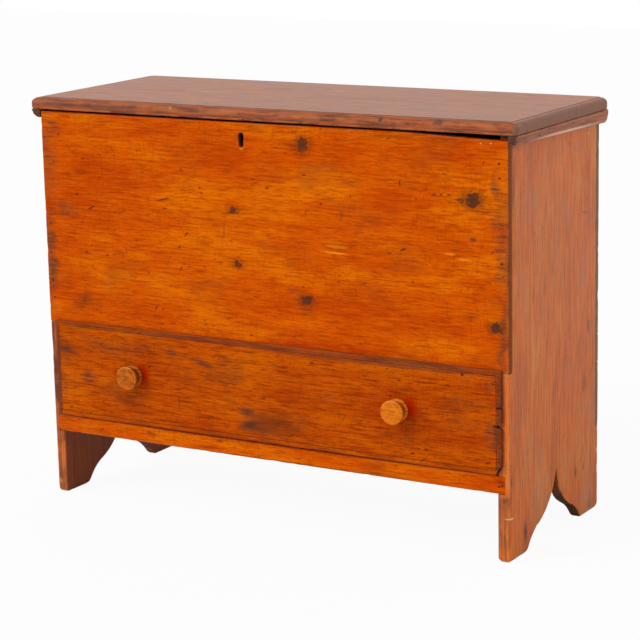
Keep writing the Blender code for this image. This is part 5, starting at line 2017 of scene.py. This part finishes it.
    def _profile(self, reach: float, radius: float, tenon: float) -> list[Flat]:
        """The knob's profile, from the middle of its face to the end of its tenon.

        Args:
            reach: How far the knob stands out.
            radius: Its largest radius.
            tenon: Length of the tenon.

        Returns:
            Distances from the knob's axis, each with its height over the drawer's face.
        """
        base = radius * 0.945
        neck = radius * 0.62
        bead = radius * 0.77
        crown = 0.992
        plug = 0.007
        foot = 0.0003
        rows = [(0.0, reach * crown)]
        for share in (0.2, 0.4, 0.6):
            rows.append((radius * share, reach * (crown - 0.004 * math.sin(share * 9))))
        rows += [(radius * 0.78, reach * 0.985), (radius * 0.86, reach * 0.965)]
        rows += rounded((radius - 0.0022, reach * 0.955 - 0.0024), 0.0022, 80, -40, 7)
        under = ((radius * 0.96, 0.71), (radius * 0.90, 0.67), (radius * 0.80, 0.655))
        waist = ((neck * 1.06, 0.62), (neck, 0.56), (neck, 0.505))
        rows += [(x, reach * share) for x, share in (*under, *waist)]
        rows += rounded((bead - 0.0016, reach * 0.40), 0.0016, 75, -75, 6)
        hollow = ((neck, 0.31), (neck, 0.255))
        flare = ((base * 0.88, 0.225), (base * 0.96, 0.18), (base, 0.12), (base, 0.04))
        rows += [(x, reach * share) for x, share in (*hollow, *flare)]
        rows += [(base * 0.985, foot), (plug, foot), (plug, -tenon), (0.0, -tenon)]
        return rows


# Nails and screws


# Where the heads of nails and screws face, by the start of their nodes' names
AIMS = {
    "front_nail": (0, -1, 0),
    "rail_nail": (0, -1, 0),
    "back_nail": (0, 1, 0),
    "hinge_case": (0, 1, 0),
    "hinge_lid": (0, 0, -1),
}


class Tree(Nodes):
    """A geometry tree that sets a model on each of its points."""

    def __init__(self, name: str, **sizes: float) -> None:
        """Start the tree.

        Args:
            name: Name of the tree.
            **sizes: The tree's named sizes.
        """
        group = bpy.data.node_groups.new(name, "GeometryNodeTree")
        group.is_modifier = True
        super().__init__(group)
        self.slots: dict[str, str] = {}
        kinds = dict.fromkeys(sizes, "NodeSocketFloat")
        kinds = {"Places": "NodeSocketGeometry", **kinds, "Iron": "NodeSocketMaterial"}
        for title, kind in kinds.items():
            socket = group.interface.new_socket(name=title, in_out="INPUT", socket_type=kind)
            self.slots[title] = socket.identifier
            if title in sizes:
                socket.default_value = sizes[title]
        group.interface.new_socket(name="Result", in_out="OUTPUT", socket_type="NodeSocketGeometry")
        self.entry = self.node("NodeGroupInput")

    def given(self, name: str) -> Wire:
        """One of the tree's inputs."""
        return Wire(self, self.entry.outputs[name])

    def moved(self, shape: Wire, height: Wire) -> Wire:
        """A shape moved along Z."""
        inputs = {"Geometry": shape, "Translation": self.vector(z=height)}
        return self.wire("GeometryNodeTransform", None, inputs)

    def cone(self, corners: int, top: Wire, bottom: Wire, depth: Wire) -> Wire:
        """A cone cut off at the top, standing on its base."""
        inputs = {"Vertices": corners, "Radius Top": top, "Radius Bottom": bottom, "Depth": depth}
        return self.wire("GeometryNodeMeshCone", None, inputs)

    def joined(self, *shapes: Wire) -> Wire:
        """Join several shapes.

        Args:
            *shapes: The shapes.

        Returns:
            All of them as one.
        """
        node = self.node("GeometryNodeJoinGeometry")
        for shape in shapes:
            self.tree.links.new(shape.socket, node.inputs[0])
        return Wire(self, node.outputs[0])

    def scatter(self, model: Wire) -> None:
        """Set a model on each point, along the way that the point aims, and close the tree.

        Args:
            model: The model, which points along Z.
        """
        aim = self.wire("GeometryNodeInputNamedAttribute", {"data_type": "FLOAT_VECTOR"}, {"Name": "aim"})
        align = self.wire("FunctionNodeAlignRotationToVector", {"axis": "Z"}, {"Vector": aim})
        twist = {2: -0.22, 3: 0.22, "Seed": 5}
        spin = self.wire("FunctionNodeRandomValue", {"data_type": "FLOAT"}, twist, 1)
        about = self.wire("FunctionNodeAxisAngleToRotation", None, {"Axis": (0, 0, 1), "Angle": spin})
        turned = self.wire("FunctionNodeRotateRotation", {"rotation_space": "LOCAL"}, {0: align, 1: about})
        inputs = {"Points": self.given("Places"), "Instance": model, "Rotation": turned}
        copies = self.wire("GeometryNodeInstanceOnPoints", None, inputs)
        real = self.wire("GeometryNodeRealizeInstances", None, {"Geometry": copies})
        inputs = {"Geometry": real, "Material": self.given("Iron")}
        self.node("NodeGroupOutput", None, {0: self.wire("GeometryNodeSetMaterial", None, inputs)})


@dataclass
class Fixings:
    """Cut nails and slotted screws, set in the holes of their nodes.

    Attributes:
        nail_width: Width of a nail's head, along X.
        nail_depth: Width of the head across that.
        nail_height: Thickness of the head.
        nail_length: Length of the shank.
        shank_width: Width of the shank.
        screw_radius: Radius of a screw's head.
        screw_height: Height of the head.
        screw_length: Length of the shank.
        slot: Width of the slot.
    """

    nail_width: float = 0.0055
    nail_depth: float = 0.0036
    nail_height: float = 0.0012
    nail_length: float = 0.030
    shank_width: float = 0.0028
    screw_radius: float = 0.0034
    screw_height: float = 0.0016
    screw_length: float = 0.0085
    slot: float = 0.0007

    def build(self, iron: bpy.types.Material) -> None:
        """Set every nail and screw.

        Args:
            iron: Their material.
        """
        nails = self._nail_tree()
        screws = self._screw_tree()
        words = {"case": ("front_nail", "rail_nail", "back_nail"), "lid": ("cleat_nail",)}
        for body, starts in words.items():
            self._set(f"nails_of_{body}", nails, starts, body, iron)
        for body in words:
            self._set(f"screws_of_{body}", screws, (f"hinge_{body}_screw",), body, iron)

    def _nail_tree(self) -> Tree:
        """A cut nail: a rough rectangular head on a tapering shank.

        Returns:
            The tree that sets it.
        """
        sizes = {"Width": self.nail_width, "Depth": self.nail_depth, "Height": self.nail_height}
        tree = Tree("cut_nails", **sizes, Shank=self.shank_width, Length=self.nail_length)
        size = tree.vector(tree.given("Width"), tree.given("Depth"), tree.given("Height"))
        counts = {"Size": size, "Vertices X": 4, "Vertices Y": 4, "Vertices Z": 3}
        head = tree.moved(tree.wire("GeometryNodeMeshCube", None, counts), tree.given("Height") * -0.5)
        dents = tree.wire("ShaderNodeTexNoise", None, {"Scale": 900.0, "Detail": 1.0}, "Color")
        pull = tree.vectors("SUBTRACT", dents, (0.5, 0.5, 0.95))
        pull = tree.vectors("MULTIPLY", pull, (0.0009, 0.0009, 0.0005))
        head = tree.wire("GeometryNodeSetPosition", None, {"Geometry": head, "Offset": pull})
        length = tree.given("Length")
        shank = tree.cone(4, tree.given("Shank") * 0.5, tree.given("Shank") * 0.17, length)
        tree.scatter(tree.joined(head, tree.moved(shank, length * -1.0 - 0.0006)))
        return tree

    def _screw_tree(self) -> Tree:
        """A wood screw: a countersunk head with a slot, on a plain shank.

        Returns:
            The tree that sets it.
        """
        sizes = {"Radius": self.screw_radius, "Height": self.screw_height, "Length": self.screw_length}
        tree = Tree("slotted_screws", **sizes, Slot=self.slot)
        radius, height, length = (tree.given(name) for name in sizes)
        head = tree.moved(tree.cone(24, radius, radius * 0.45, height), height * -1.0)
        size = tree.vector(0.02, tree.given("Slot"), 0.0012)
        bar = tree.wire("GeometryNodeMeshCube", None, {"Size": size})
        settings = {"operation": "DIFFERENCE", "solver": "EXACT"}
        slotted = tree.wire("GeometryNodeMeshBoolean", settings, {0: head, 1: bar})
        shank = tree.cone(12, radius * 0.44, radius * 0.15, length)
        tree.scatter(tree.joined(slotted, tree.moved(shank, length * -1.0 - height)))
        return tree

    def _set(
        self, name: str, tree: Tree, starts: tuple[str, ...], body: str, iron: bpy.types.Material
    ) -> None:
        """Set the fixings of one body on the places that their nodes give.

        Args:
            name: Name of the piece that they make.
            tree: The tree that sets them.
            starts: How their nodes' names start.
            body: The body that they ride on.
            iron: Their material.
        """
        nodes = sorted(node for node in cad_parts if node.startswith(starts))
        places = []
        aims = []
        for node in nodes:
            sideways = (-1 if "_left" in node else 1, 0, 0)
            aim = Vector(next((way for start, way in AIMS.items() if node.startswith(start)), sideways))
            low, high = (Vector(corner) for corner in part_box(node))
            length = abs((high - low).dot(aim))
            places.append((low + high) / 2 + aim * (length / 2))
            aims += list(aim)
        mesh = bpy.data.meshes.new(name)
        mesh.from_pydata(places, [], [])
        mesh.attributes.new("aim", "FLOAT_VECTOR", "POINT").data.foreach_set("vector", aims)
        thing = bpy.data.objects.new(name, mesh)
        bpy.context.scene.collection.objects.link(thing)
        modifier = thing.modifiers.new("set", "NODES")
        modifier.node_group = tree.tree
        modifier[tree.slots["Iron"]] = iron
        bake(thing)
        settle(thing, iron, body, nodes)


@dataclass
class Ironwork:
    """Hinges and lock, whose own shapes stay and get an iron finish."""

    def build(self, iron: bpy.types.Material) -> None:
        """Dress every hinge and lock piece.

        Args:
            iron: Their material.
        """
        for name, node in sorted(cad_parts.items()):
            if name.startswith(("hinge_", "lock_")) and "screw" not in name:
                node.data.materials.clear()
                node.data.materials.append(iron)
                LOG.info("%s dressed as it is", name)


# Studio


@dataclass
class Studio:
    """Floor, light and camera.

    Attributes:
        eye: Place of the camera.
        yaw: How far it looks to the left of +Y, in degrees.
        pitch: How far it looks down.
        roll: How far it is tilted.
        lens: Focal length for a sensor 36 mm wide, in millimetres.
        ambient: Strength of the light from all round.
        key: Strength of the light from the front left.
        key_from: Direction that it comes from.
        key_spread: How wide it is in the sky, in degrees.
        floor_glow: How much of the floor is plain white to the camera.
    """

    eye: Place = (2.0968, -3.48625, 1.2576)
    yaw: float = 30.89
    pitch: float = 12.595
    roll: float = -1.259
    lens: float = 126.6
    ambient: float = 0.58
    key: float = 1.5
    key_from: Place = (-0.55, -0.75, 0.62)
    key_spread: float = 28.0
    floor_glow: float = 0.94

    def build(self) -> None:
        """Set up the floor, the light and the camera."""
        self._world()
        self._floor()
        self._key()
        self._camera()
        bpy.context.scene.view_settings.view_transform = "Standard"

    def _world(self) -> None:
        """Even light from all round, in front of a white background."""
        world = bpy.data.worlds.new("studio")
        bpy.context.scene.world = world
        world.use_nodes = True
        nodes = Nodes(world.node_tree)
        path = nodes.node("ShaderNodeLightPath")
        kinds = ("Camera", "Glossy", "Transmission")
        seen = [Wire(nodes, path.outputs[f"Is {kind} Ray"]) for kind in kinds]
        white = {"Color": (1.0, 1.0, 1.0, 1.0)}
        dim = nodes.wire("ShaderNodeBackground", None, {**white, "Strength": self.ambient})
        full = nodes.wire("ShaderNodeBackground", None, {**white, "Strength": 1.0})
        share = seen[0].high(seen[1]).high(seen[2])
        mixed = nodes.wire("ShaderNodeMixShader", None, {0: share, 1: dim, 2: full})
        nodes.node("ShaderNodeOutputWorld", None, {0: mixed})

    def _floor(self) -> None:
        """A pale floor that is white to the camera and keeps a soft shadow."""
        mesh = bmesh.new()
        bmesh.ops.create_grid(mesh, x_segments=1, y_segments=1, size=9.0)
        bmesh.ops.translate(mesh, vec=(0, 0, -0.0004), verts=mesh.verts)
        floor = new_object("floor", mesh)
        shade = Shade("pale_floor")
        share = shade.wire("ShaderNodeLightPath", None, None, "Is Camera Ray") * self.floor_glow
        plain = shade.wire("ShaderNodeBsdfDiffuse", None, {"Color": (0.86, 0.86, 0.86, 1.0)})
        glow = shade.wire("ShaderNodeEmission", None, {"Color": (1.0, 1.0, 1.0, 1.0), "Strength": 1.0})
        shade.close(shade.wire("ShaderNodeMixShader", None, {0: share, 1: plain, 2: glow}))
        floor.data.materials.append(shade.material)

    def _key(self) -> None:
        """A wide lamp far away, towards the chest."""
        data = bpy.data.lights.new("key", "SUN")
        data.energy = self.key
        data.angle = math.radians(self.key_spread)
        lamp = bpy.data.objects.new("key", data)
        lamp.rotation_euler = Vector(self.key_from).to_track_quat("Z", "Y").to_euler()
        bpy.context.scene.collection.objects.link(lamp)

    def _camera(self) -> None:
        """The camera at the photograph's place."""
        yaw, pitch, roll = (math.radians(angle) for angle in (self.yaw, self.pitch, self.roll))
        turn = Euler((math.pi / 2 - pitch, 0, yaw)).to_matrix() @ Matrix.Rotation(roll, 3, "Z")
        data = bpy.data.cameras.new("camera")
        data.lens = self.lens
        data.sensor_width = 36.0
        data.clip_start = 0.05
        data.clip_end = 60.0
        camera = bpy.data.objects.new("camera", data)
        camera.matrix_world = Matrix.Translation(self.eye) @ turn.to_4x4()
        bpy.context.scene.collection.objects.link(camera)
        bpy.context.scene.camera = camera


def main() -> None:
    """Build the chest and its studio."""
    logging.basicConfig(level=logging.INFO, format="%(message)s")
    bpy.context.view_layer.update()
    iron = OldIron().material()
    FrontBoard().build()
    Carcass().build()
    Lid().build()
    Drawer().build()
    Fixings().build(iron)
    Ironwork().build(iron)
    Studio().build()


if __name__ == "__main__":
    main()
